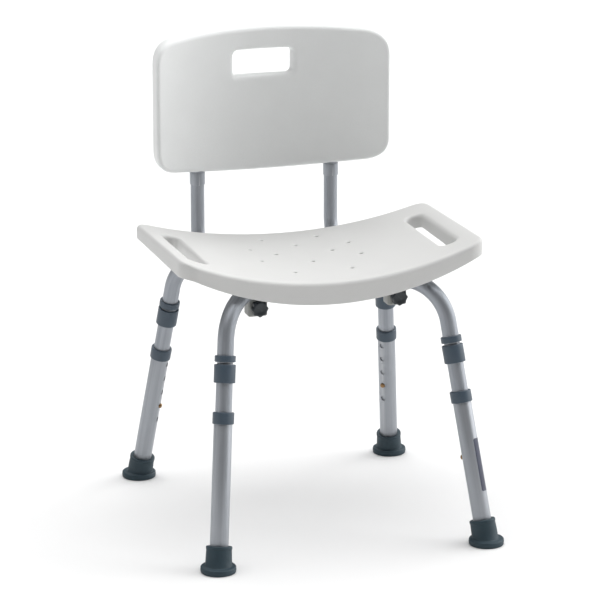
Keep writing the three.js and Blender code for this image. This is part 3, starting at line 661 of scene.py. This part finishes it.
def spring(corner):
    """Leaf spring bent to a V inside the leg."""
    near, thick, width = BUTTON_ROOT - GAP, 0.8, 9
    under = near - thick
    top, bend, apex = BUTTON_AT + 6, BUTTON_AT - 6, BUTTON_AT - 26
    corners = fillet([
        (near, top, 0.3), (under, top, 0.3), (under, bend, 3.0), (0, apex + 2 * thick, 1.0),
        (-under, bend, 3.0), (-under, top, 0.3), (-near, top, 0.3), (-near, bend, 3.8),
        (0, apex - 1.8, 2.5), (near, bend, 3.8),
    ])
    outline = []
    for (x0, z0), (x1, z1) in zip(corners, corners[1:] + corners[:1]):
        pieces = max(1, math.ceil(math.hypot(x1 - x0, z1 - z0) / 2))
        outline += [(x0 + (x1 - x0) * k / pieces, z0 + (z1 - z0) * k / pieces) for k in range(pieces)]
    space = leg_space(corner)
    rings = [[(x, y, z) for x, z in outline] for y in (-width / 2, width / 2)]
    piece = loft(f"leaf_spring_{corner}", rings, space)
    piece.data.materials.append(SPRING)
    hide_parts(f"button_spring_{corner}")
    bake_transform(piece)


BOOT_TOP = 38.8


def foot(corner):
    """Rubber foot: treaded base and flange level on the floor, and a boot that leans with the leg."""
    axis, sides = leg_axis(corner), 72
    level = Vector((0, 0, 1))
    socket, socket_bottom = OUTER_R + GAP, 8.2

    def ring(centre, radius, normal):
        u = normal.cross(Vector((0, 1, 0))).normalized()
        v = normal.cross(u)
        return [tuple(centre + u * x + v * y) for x, y, _ in circle(radius, 0, sides)]

    def level_ring(radius, height, slide=0.0):
        """Circle level with the floor, over its middle at a slide of 0 and on the leg's axis at 1."""
        centre = axis * (height / axis.z) * slide
        centre.z = height
        return ring(centre, radius, level)

    tread = [(0.01, 1.0), (6.0, 1.0), (6.8, 0.0), (10.4, 0.0), (11.2, 1.0), (13.4, 1.0), (14.2, 0.0),
             (17.8, 0.0), (18.6, 1.0), (20.8, 1.0), (21.6, 0.0)]
    flange = fillet(
        [(21.6, 0), (26.9, 0, 1.4), (27.5, 4.2, 3.0), (27.1, 9.5, 2.0), (24.0, 9.5)], closed=False)[1:]
    rings = [level_ring(r, z) for r, z in tread + flange]
    rings += [level_ring(22.3, 9.5, 0.6), level_ring(21.1, 9.9, 0.9), level_ring(20.5, 10.8, 1.0)]
    rings += [ring(axis * 19.5, 20.2, axis)]
    boot = fillet([
        (20.2, 19.5), (19.6, 33.6, 0.5), (20.2, 34.6, 0.6), (20.1, BOOT_TOP, 1.3),
        (socket, BOOT_TOP, 0.5), (socket, socket_bottom), (0.01, socket_bottom),
    ], closed=False, steps=4)[1:]
    rings += [ring(axis * length, radius, axis) for radius, length in boot]
    at = Matrix.Translation(FOOT[corner])
    piece = loft(f"rubber_foot_{corner}", rings, at, SHARP_LOFTED)
    dress(piece, RUBBER, f"leg_extension_{corner}", "slate_rubber", f"foot_{corner}")


# ---- frame tubes

CROSSING_HALF, CROSSING_FLAT = 46, 22


def arm_point(corner, distance):
    """Point on the axis of a frame tube's level arm, at a distance from the crossing."""
    arm = knee(corner)
    arm.z = 0
    point = arm.normalized() * distance
    point.z = FRAME_Z
    return point


def smoothstep(x, low, high):
    t = min(1.0, max(0.0, (x - low) / (high - low)))
    return t * t * (3 - 2 * t)


def frame_tube(name, node, a, b, side):
    ends = [(FOOT[c] - MIDDLE) / MM + leg_axis(c) * FRAME_TUBE_END for c in (a, b)]
    route = stations_along([ends[0], knee(a), knee(b), ends[1]], FRAME_BEND_R, 5, 22)

    def press(point):
        """The middle of the tube is pressed flat, into the upper or the lower half of its height."""
        amount = 1 - smoothstep(math.hypot(point.x, point.y), CROSSING_FLAT, CROSSING_HALF)
        height, half = point.z - FRAME_Z, INNER_R - GAP
        pressed = side * (GAP / 2 + half / 2) + height / INNER_R * half / 2
        return Vector((point.x, point.y, FRAME_Z + height + (pressed - height) * amount))

    tube = bent_tube(name, route, INNER_R, press)
    dress(tube, TUBE_BENT, "frame", "anodised_tube", node)


# ---- seat

SEAT_X, SEAT_Y, SEAT_CORNER, SEAT_WALL = 244, 148, 27, 4
SEAT_TOP, SEAT_BOTTOM = 417, 382
TOP_ARC, TOP_EASE = 607, 232
BOTTOM_ARC, BOTTOM_EASE = 496, 218
TILT = math.sin(math.radians(1.2))
REAR_DROP, LOWER_REAR_DROP, REAR_DROP_X = 10.5, 6, 200
EDGE_R, EDGE_R_LOSS, EDGE_R_FROM = 7.5, 1.5, 150
LIP_R, ROOT_R, SLOT_LIP_R, SLOT_ROOT_R = 1.7, 7.0, 1.5, 4.0
SLOT_X, SLOT_Y, SLOT_LENGTH, SLOT_WIDTH, SLOT_WALL, SLOT_RIM = 202, -3, 182, 26, 3.5, 6.5
DRAIN_R, DRAIN_RIM = 2.6, 2.8
DRAINS = [(0, 66), (0, -27)] + [
    (s * x, y) for x, y in ((46, 103), (46, 20), (46, -83), (81, 46), (81, -20)) for s in (1, -1)
]
SCREW_AT, BOSS_R = 80, 9


def rise(x, radius, ease):
    """Height that a surface gains at x as it bows up towards the seat's ends, and then eases off."""
    x = abs(x)
    if x <= ease:
        return radius - math.sqrt(radius * radius - x * x)
    slope = ease / math.sqrt(radius * radius - ease * ease)
    run = SEAT_X - ease
    beyond = min(x - ease, run)
    return rise(ease, radius, ease) + slope * (beyond - beyond * beyond / (2 * run))


def seat_level(x, y, drop):
    """Tilt of the seat, less the drop of its rear corners."""
    return y * TILT - drop * (x / REAR_DROP_X) ** 2 * (y + SEAT_Y) / (2 * SEAT_Y)


def seat_top(x, y):
    return SEAT_TOP + rise(x, TOP_ARC, TOP_EASE) + seat_level(x, y, REAR_DROP)


def seat_bottom(x, y):
    return SEAT_BOTTOM + rise(x, BOTTOM_ARC, BOTTOM_EASE) + seat_level(x, y, LOWER_REAR_DROP)


def quarter(steps):
    """(sine, cosine) of even steps over a quarter turn."""
    angles = [math.pi / 2 * k / steps for k in range(steps + 1)]
    return [(math.sin(a), math.cos(a)) for a in angles]


def arc_rows(radius, steps):
    """(inset, depth) over a quarter round from the top surface to the side."""
    return [(radius * (1 - s), radius * (1 - c)) for s, c in quarter(steps)]


def seat():
    """One moulded shell: skirt, hand slots, drain holes and screw posts between two surfaces."""
    shell = Shell()
    outline = rounded_rectangle(SEAT_X, SEAT_Y, SEAT_CORNER, 5, 14)

    def edge_radius(x):
        """Radius of the top edge, which gets a little smaller towards the seat's ends."""
        return EDGE_R - EDGE_R_LOSS * smoothstep(abs(x), EDGE_R_FROM, SEAT_X)

    def height(x, y):
        return seat_top(x, y) - seat_bottom(x, y)

    def row(loop, sign, inset, depth):
        """One row of a wall. Inset and depth are each a number or a function of the loop's point."""
        out = []
        for x, y, nx, ny in loop:
            a = inset(x, y) if callable(inset) else inset
            d = depth(x, y) if callable(depth) else depth
            px, py = x - sign * a * nx, y - sign * a * ny
            out.append((px, py, seat_top(px, py) - d))
        return out

    def row_above_lip(loop, sign, inset, up):
        """One row of a wall, at a height above the seat's lower edge."""
        return row(loop, sign, inset, lambda x, y: height(x, y) - up)

    def lower_edge(loop, sign, lip, wall, steps):
        """Rows round the lower edge of a wall, from its outer side to its inner side."""
        outer = [row_above_lip(loop, sign, lip * (1 - c), lip * (1 - s)) for s, c in quarter(steps)]
        inner = [
            row_above_lip(loop, sign, wall - lip * (1 - s), lip * (1 - c)) for s, c in quarter(steps)
        ]
        return outer + inner

    def root(loop, sign, wall, radius, steps):
        """Rows round the hollow where the inner side of a wall meets the underside of the panel."""
        return [
            row(loop, sign, wall + radius * (1 - c), SEAT_WALL + radius * (1 - s))
            for s, c in quarter(steps)
        ]

    rows = [
        row(outline, 1, lambda x, y: edge_radius(x) * (1 - s), lambda x, y: edge_radius(x) * (1 - c))
        for s, c in quarter(9)
    ]
    top_row = rows[0]
    rows.append(row(outline, 1, 0, lambda x, y: (edge_radius(x) + height(x, y) - LIP_R) / 2))
    rows += lower_edge(outline, 1, LIP_R, SEAT_WALL, 4)
    rows += root(outline, 1, SEAT_WALL, ROOT_R, 5)
    under_row = rows[-1]
    shell.wall(rows)

    top_holes, under_holes = [], []
    for side in (-1, 1):
        half_x, half_y = SLOT_WIDTH / 2, SLOT_LENGTH / 2
        loop = [
            (x + side * SLOT_X, y + SLOT_Y, nx, ny)
            for x, y, nx, ny in rounded_rectangle(half_x, half_y, half_x - 1, 5, 12)
        ]
        rows = [row(loop, -1, a, d) for a, d in arc_rows(SLOT_RIM, 7)]
        top_holes.append([p[:2] for p in rows[0]])
        rows.append(row(loop, -1, 0, lambda x, y: height(x, y) / 2))
        rows += lower_edge(loop, -1, SLOT_LIP_R, SLOT_WALL, 3)
        rows += root(loop, -1, SLOT_WALL, SLOT_ROOT_R, 4)
        under_holes.append([p[:2] for p in rows[-1]])
        shell.wall(rows)

    for x, y in DRAINS:
        loop = [(x + DRAIN_R * c, y + DRAIN_R * s, c, s) for c, s, _ in circle(1, 0, 20)]
        rows = [row(loop, -1, a, d) for a, d in arc_rows(DRAIN_RIM, 5)]
        top_holes.append([p[:2] for p in rows[0]])
        rows.append(row(loop, -1, 0, SEAT_WALL - 0.4))
        rows.append(row(loop, -1, 0.4, SEAT_WALL))
        under_holes.append([p[:2] for p in rows[-1]])
        shell.wall(rows)

    for corner in CORNERS:
        at = arm_point(corner, SCREW_AT)
        post_end, hole, hole_top = FRAME_Z + INNER_R + GAP, 2.7, SEAT_TOP - 3.7

        def boss_row(radius, z):
            ring = [(at.x + x, at.y + y) for x, y, _ in circle(radius, 0, 32)]
            return [(x, y, z(x, y) if callable(z) else z) for x, y in ring]

        rows = [
            boss_row(BOSS_R + 0.9, lambda x, y: seat_top(x, y) - SEAT_WALL),
            boss_row(BOSS_R + 0.2, lambda x, y: seat_top(x, y) - SEAT_WALL - 0.5),
            boss_row(BOSS_R, post_end + 1.2),
            boss_row(BOSS_R - 0.6, post_end),
            boss_row(hole, post_end),
            boss_row(hole, hole_top),
            boss_row(0.02, hole_top),
        ]
        under_holes.append([p[:2] for p in rows[0]])
        shell.wall(rows)

    def on_top(x, y):
        return (x, y, seat_top(x, y))

    def under_top(x, y):
        return (x, y, seat_top(x, y) - SEAT_WALL)

    shell.region([p[:2] for p in top_row], top_holes, 7, on_top)
    shell.region([p[:2] for p in under_row], under_holes, 9, under_top)
    piece = shell.piece("seat_shell")
    dress(piece, SEAT_PAINTED_SHADE, "frame", "seat_plastic", "seat_panel")


# ---- backrest

BACK_ARC, BACK_THICK, BACK_FACE_Y = 305, 30, 246
BACK_ARC_Y = BACK_FACE_Y - BACK_ARC
BACK_X, BACK_CORNER = 194.5, 37
BACK_LOW, BACK_LOW_CORNER = 500, 518
BACK_HIGH, BACK_HIGH_CORNER = 735, 729
HANDLE_Z, HANDLE_LENGTH, HANDLE_HEIGHT, HANDLE_CORNER = 677, 101, 43, 9
BACK_EDGE_R, HANDLE_EDGE_R = 8.5, 8.0
BACK_TUBE_X, BACK_TUBE_R, BACK_BEND_R = 112.5, 11.1, 45
BACK_MID_ARC = BACK_ARC + BACK_THICK / 2
BACK_TUBE_Y = BACK_ARC_Y + math.sqrt(BACK_MID_ARC**2 - BACK_TUBE_X**2)
BACK_TUBE_LOW, BACK_TUBE_TOP, BACK_TUBE_FRONT = 372.2, 690, -101
SLEEVE_R, SLEEVE_LOW, SLEEVE_TOP = 12.3, 485, 504.5
BACK_SCREW_Z = 590


def quadratic(a, b, c, steps):
    """Points on a curve from a, drawn towards b, to c, without its last point."""
    a, b, c = Vector(a), Vector(b), Vector(c)
    out = []
    for k in range(steps):
        t = k / steps
        out.append(a * (1 - t) ** 2 + b * (2 * t * (1 - t)) + c * t * t)
    return out


def back_outline():
    """(x, z, nx, nz) round the backrest: shallow arcs below and above, and rounded corners."""
    edge = BACK_X - BACK_CORNER
    low_end = BACK_LOW_CORNER - (BACK_LOW_CORNER - BACK_LOW) * 0.25
    high_end = BACK_HIGH_CORNER + (BACK_HIGH - BACK_HIGH_CORNER) * 0.25
    side_low, side_high = BACK_LOW_CORNER + BACK_CORNER, BACK_HIGH_CORNER - BACK_CORNER
    side_middle, low_pull, high_pull = 625, BACK_LOW_CORNER + 2, BACK_HIGH_CORNER - 1
    right = [
        *quadratic((edge, low_end), (BACK_X, low_pull), (BACK_X, side_low), 16),
        *quadratic((BACK_X, side_low), (BACK_X, side_middle), (BACK_X, side_high), 20),
        *quadratic((BACK_X, side_high), (BACK_X, high_pull), (edge, high_end), 16),
        Vector((edge, high_end)),
    ]
    points = [
        *quadratic((-edge, low_end), (0, 2 * BACK_LOW - low_end), (edge, low_end), 60),
        *right[:-1],
        *quadratic((edge, high_end), (0, 2 * BACK_HIGH - high_end), (-edge, high_end), 60),
        *(Vector((-p.x, p.y)) for p in right[:0:-1]),
    ]
    count = len(points)
    out = []
    for i, p in enumerate(points):
        tangent = (points[(i + 1) % count] - points[i - 1]).normalized()
        out.append((p.x, p.y, tangent.y, -tangent.x))
    return out


def back_depth(x, depth):
    """Y of the backrest at x, at a depth behind its front surface."""
    return BACK_ARC_Y + math.sqrt((BACK_ARC + depth) ** 2 - x * x)


def upright(side):
    """Space of a back tube's upright: its axis is Z, and z is the height."""
    return FRAME_SPACE @ Matrix.Translation((side * BACK_TUBE_X * MM, BACK_TUBE_Y * MM, 0))


def backrest():
    """Curved moulding with a handle slot, its two bent tubes and the sleeves below it."""
    shell = Shell()

    def row(loop, sign, inset, depth):
        out = []
        for x, z, nx, nz in loop:
            px, pz = x - sign * inset * nx, z - sign * inset * nz
            out.append((px, back_depth(px, depth), pz))
        return out

    def sweep(loop, sign, radius):
        """Wall from front to rear with both of its edges rounded. Gives its front and rear loops."""
        rows = [row(loop, sign, a, d) for a, d in arc_rows(radius, 8)]
        rows.append(row(loop, sign, 0, BACK_THICK / 2))
        rows += [row(loop, sign, a, BACK_THICK - d) for a, d in reversed(arc_rows(radius, 8))]
        shell.wall(rows)
        return [(p[0], p[2]) for p in rows[0]], [(p[0], p[2]) for p in rows[-1]]

    outer_front, outer_rear = sweep(back_outline(), 1, BACK_EDGE_R)
    slot = rounded_rectangle(HANDLE_LENGTH / 2, HANDLE_HEIGHT / 2, HANDLE_CORNER, 6, 8)
    handle = [(x, z + HANDLE_Z, nx, nz) for x, z, nx, nz in slot]
    hole_front, hole_rear = sweep(handle, -1, HANDLE_EDGE_R)
    shell.region(outer_front, [hole_front], 7, lambda x, z: (x, back_depth(x, 0), z))
    shell.region(outer_rear, [hole_rear], 7, lambda x, z: (x, back_depth(x, BACK_THICK), z))
    piece = shell.piece("back_shell")
    bore = BACK_TUBE_R + PLAY
    entry_low, entry_high = BACK_LOW - 20, BACK_LOW + 40
    tools = [rod(bore, entry_low, entry_high, upright(side)) for side in (-1, 1)]
    cut(piece, *tools, sharp=SHARP_MOULDED)
    dress(piece, BACK, "back", "back_plastic", "back_panel")

    for name, side in (("left", -1), ("right", 1)):
        x = side * BACK_TUBE_X
        corners = [
            (x, BACK_TUBE_FRONT, BACK_TUBE_LOW),
            (x, BACK_TUBE_Y, BACK_TUBE_LOW),
            (x, BACK_TUBE_Y, BACK_TUBE_TOP),
        ]
        route = stations_along(corners, BACK_BEND_R, 12, 20)
        tube = bent_tube(f"rear_tube_{name}", route, BACK_TUBE_R)
        dress(tube, TUBE_BENT, "back", "anodised_tube", f"back_tube_{name}")
        profile = fillet([
            (bore, SLEEVE_LOW, 0.2), (SLEEVE_R, SLEEVE_LOW, 0.5),
            (SLEEVE_R, SLEEVE_TOP, 0.3), (bore, SLEEVE_TOP, 0.2),
        ], steps=3)
        sleeve = lathe(f"rear_sleeve_{name}", profile, upright(side))
        dress(sleeve, TUBE, "back", "anodised_tube", f"back_sleeve_{name}")


# ---- clamps, knobs and fasteners

CLAMP_HALF_Y, STUD_HOLE_R = 13, 3.3


def on_back(x, y, z):
    """Space whose +Z runs along +Y, from a point in millimetres from the middle."""
    place = Matrix.Translation((x * MM, y * MM, z * MM))
    return FRAME_SPACE @ place @ Matrix.Rotation(-math.pi / 2, 4, "X")


def clamp(corner):
    """Block that holds a back tube under a frame tube, bored for both."""
    at = knee(corner) * (BACK_TUBE_X / abs(knee(corner).x))
    bottom, top, half_x, corner_r, edge_r = 357, 413, 15.5, 4, 3
    outline = rounded_rectangle(half_x, CLAMP_HALF_Y, corner_r, 100, 6)

    def ring(inset, z):
        return [(x - inset * nx + at.x, y - inset * ny + at.y, z) for x, y, nx, ny in outline]

    turn = [(math.sin(a), math.cos(a)) for a in (0, 0.4, 0.8, 1.2, math.pi / 2)]
    rings = [ring(edge_r * (1 - s), bottom + edge_r * (1 - c)) for s, c in turn]
    rings += [ring(edge_r * (1 - c), top - edge_r * (1 - s)) for s, c in turn]
    block = loft(f"clamp_{corner}", rings)
    along = Vector((knee(corner).x, knee(corner).y, 0)).normalized()
    to_arm = along.to_track_quat("Z", "Y").to_matrix().to_4x4()
    arm_tool = FRAME_SPACE @ Matrix.Translation((at.x * MM, at.y * MM, FRAME_Z * MM)) @ to_arm
    run = on_back(at.x, 0, BACK_TUBE_LOW)
    front = corner.startswith("front")
    past, far = 60, 300
    run_start = BACK_TUBE_FRONT - GAP if front else -far
    tools = [
        rod(INNER_R + PLAY, -past, past, arm_tool, 64),
        rod(BACK_TUBE_R + PLAY, run_start, far, run, 64),
    ]
    if front:
        tools.append(rod(STUD_HOLE_R, -far, 0, run, 32))
    cut(block, *tools)
    dress(block, CLAMP, "frame", "clamp_plastic", f"cross_clamp_{corner}")


def knob(name, side):
    """Lobed thumb knob: a skirt of shallow lobes, a dished cap, a round collar and the stud."""
    face = knee("front_left").y * BACK_TUBE_X / abs(knee("front_left").x) - CLAMP_HALF_Y - GAP
    radius, length, lobes, sides = 13.5, 14, 8, 96
    stud, stud_tip, stud_end = 0.222, 0.19, BACK_TUBE_FRONT + 14 - face

    def ring(scale, y, wave):
        out = []
        for i in range(sides):
            a = TURN * i / sides
            r = scale * (radius - wave + wave * math.cos(a * lobes))
            out.append((r * math.cos(a), r * math.sin(a), y))
        return out

    cap = [
        (0.0008, 1.4, 0), (0.25, 1.3, 0), (0.45, 0.9, 0), (0.62, 0.2, 0), (0.70, 0, 0),
        (0.78, 0.25, 0.1), (0.90, 1.2, 0.5), (0.97, 2.4, 0.9), (1.0, 4.0, 1.0),
    ]
    skirt_and_collar = [
        (1.0, -5.0, 1.0), (0.985, -4.0, 0.9), (0.93, -3.2, 0.6), (0.80, -2.8, 0.2), (0.62, -2.5, 0),
        (0.585, -2.2, 0), (0.58, -0.3, 0), (0.56, 0, 0), (0.24, 0, 0), (stud, 0.2, 0),
    ]
    rings = [ring(s, y - length, w) for s, y, w in cap]
    rings += [ring(s, y, w) for s, y, w in skirt_and_collar]
    rings += [ring(stud, stud_end - 0.6, 0), ring(stud_tip, stud_end, 0)]
    at = on_back(side * BACK_TUBE_X, face, BACK_TUBE_LOW)
    piece = loft(f"knob_piece_{name}", rings, at, SHARP_LOFTED)
    dress(piece, KNOB, f"knob_{name}", "black_plastic", f"thumb_knob_{name}")


def cross_recess(space, arm, floor, top):
    """Tool for the cross in a screw's head."""
    width = arm * 0.32
    outline = [
        (arm, width), (width, width), (width, arm), (-width, arm), (-width, width), (-arm, width),
        (-arm, -width), (-width, -width), (-width, -arm), (width, -arm), (width, -width), (arm, -width),
    ]
    low = [(x * 0.6, y * 0.6, floor) for x, y in outline]
    high = [(x, y, top) for x, y in outline]
    return loft("tool", [low, high], space)


def screw(name, space, body, node, shank_end, head_at):
    """Screw along +Z of its space, with its domed head below head_at."""
    radius, shank, tip = 5.0, 2.4, 1.9
    head = fillet(
        [(0, head_at - 3), (3.0, head_at - 2.9, 2.0), (radius, head_at - 1.0, 1.2), (radius, head_at)],
        closed=False, steps=5,
    )
    profile = head + [(shank, head_at), (shank, shank_end - 0.6), (tip, shank_end), (0, shank_end)]
    piece = lathe(name, profile, space, closed=False, sides=40)
    cut(piece, cross_recess(space, 2.6, head_at - 1.4, head_at - 3.6))
    dress(piece, SCREW, body, "steel_screw", node)


def fasteners():
    reach = INNER_R + GAP
    for corner in CORNERS:
        at = arm_point(corner, SCREW_AT)
        space = FRAME_SPACE @ Matrix.Translation((at.x * MM, at.y * MM, 0))
        node = f"seat_screw_{corner}"
        screw(f"seat_bolt_{corner}", space, "frame", node, SEAT_TOP - 4, FRAME_Z - reach)

    bearing = math.asin(BACK_TUBE_X / BACK_MID_ARC)
    head = BACK_MID_ARC + BACK_THICK / 2 + GAP
    for name, side in (("left", -1), ("right", 1)):
        space = (
            FRAME_SPACE
            @ Matrix.Translation((0, BACK_ARC_Y * MM, BACK_SCREW_Z * MM))
            @ Matrix.Rotation(-side * bearing, 4, "Z")
            @ Matrix.Rotation(-math.pi / 2, 4, "X")
            @ Matrix.Translation((0, 0, 2 * head * MM))
            @ Matrix.Rotation(math.pi, 4, "X")
        )
        shank_end = 2 * head - BACK_MID_ARC - 4
        screw(f"back_bolt_{name}", space, "back", f"back_screw_{name}", shank_end, head)
        start, end, plug_r = 0.5, 18, 9.5
        profile = [(STUD_HOLE_R, start), (plug_r, start, 0.6), (plug_r, end, 0.4), (STUD_HOLE_R, end)]
        space = on_back(side * BACK_TUBE_X, BACK_TUBE_FRONT, BACK_TUBE_LOW)
        plug = lathe(f"plug_{name}", fillet(profile, steps=3), space)
        dress(plug, KNOB, "back", "black_plastic", f"back_tube_plug_{name}")

    low, high, shank, rim = FRAME_Z - reach, FRAME_Z + reach, 4, 7.5
    profile = fillet([
        (0, low - 2.4), (4.6, low - 2.3, 3), (rim, low, 0.3), (shank, low),
        (shank, high), (rim, high, 0.3), (4.6, high + 2.3, 3), (0, high + 2.4),
    ], closed=False)
    rivet = lathe("rivet_middle", profile, closed=False, sides=48)
    dress(rivet, SCREW, "frame", "steel_screw", "frame_cross_rivet")


def label():
    """Plain dark strip round the outer side of the front right leg."""
    low, high, half_angle, corner_r, thick = 83, 166, math.radians(38), 2.5, 0.12
    radius = OUTER_R + 0.08
    outline = rounded_rectangle((high - low) / 2, half_angle * radius, corner_r, 3, 5)
    flat = [(x, y) for x, y, _, _ in outline]
    shell = Shell()

    def around(r):
        """Wraps a flat point round the leg at radius r."""
        def at(x, y):
            a = math.pi + y / radius
            return (r * math.cos(a), r * math.sin(a), (low + high) / 2 + x)
        return at

    sides = [around(radius + thick), around(radius)]
    for side in sides:
        shell.region(flat, [], 3, side)
    shell.wall([[side(x, y) for x, y in flat] for side in sides])
    piece = shell.piece("label_strip", leg_space("front_right"), SHARP_LOFTED)
    dress(piece, LABEL, "leg_extension_front_right", None)


for corner_name in CORNERS:
    leg(corner_name)
    clamp(corner_name)
    spring(corner_name)
frame_tube("cross_tube_upper", "frame_tube_upper", "front_left", "back_right", 1)
frame_tube("cross_tube_lower", "frame_tube_lower", "front_right", "back_left", -1)
seat()
backrest()
knob("left", -1)
knob("right", 1)
fasteners()
label()

# ---- floor and lights

floor_material = Material("floor", 0.9, specular=0.1)
at_floor = floor_material.coordinates()
floor_tone = floor_material.spread(floor_material.noise(at_floor, 1.2, 2), 0.3, 0.7)
floor_colour = floor_material.blend(floor_tone, (0.81, 0.81, 0.81), (0.83, 0.83, 0.83))
floor_material.set("Base Color", floor_colour)
FLOOR_REACH = 300
floor_corners = [(x * FLOOR_REACH, y * FLOOR_REACH, 0) for x, y in ((-1, -1), (1, -1), (1, 1), (-1, 1))]
floor_mesh = bpy.data.meshes.new("floor")
floor_mesh.from_pydata(floor_corners, [], [(0, 1, 2, 3)])
floor = bpy.data.objects.new("floor", floor_mesh)
floor.data.materials.append(floor_material.material)
bpy.context.scene.collection.objects.link(floor)

world = bpy.data.worlds.new("studio")
world.use_nodes = True
sky = world.node_tree
background = next(n for n in sky.nodes if n.type == "BACKGROUND")
direction = sky.nodes.new("ShaderNodeTexCoord")
height = sky.nodes.new("ShaderNodeSeparateXYZ")
sky.links.new(direction.outputs["Generated"], height.inputs["Vector"])
fade = sky.nodes.new("ShaderNodeMapRange")
fade.interpolation_type = "SMOOTHSTEP"
fade.inputs["From Min"].default_value, fade.inputs["From Max"].default_value = 0.0, 0.3
fade.inputs["To Min"].default_value, fade.inputs["To Max"].default_value = 0.12, 0.03
sky.links.new(height.outputs["Z"], fade.inputs["Value"])
sky.links.new(fade.outputs["Result"], background.inputs["Strength"])
background.inputs["Color"].default_value = (1, 1, 1, 1)
bpy.context.scene.world = world


def soft_light(name, toward, strength, width):
    """Distant light from a direction, as wide as a big softbox."""
    light = bpy.data.lights.new(name, "SUN")
    light.energy = strength
    light.angle = math.radians(width)
    holder = bpy.data.objects.new(name, light)
    holder.rotation_mode = "QUATERNION"
    holder.rotation_quaternion = Vector(toward).to_track_quat("Z", "Y")
    bpy.context.scene.collection.objects.link(holder)


soft_light("top", (0.05, 0.2, 1), 3.6, 88)
soft_light("right", (1, 0.03, 0.3), 2.5, 65)
soft_light("left", (-1, 0.03, 0.3), 0.3, 50)

bpy.context.scene.view_settings.view_transform = "Standard"
bpy.context.scene.view_settings.look = "None"
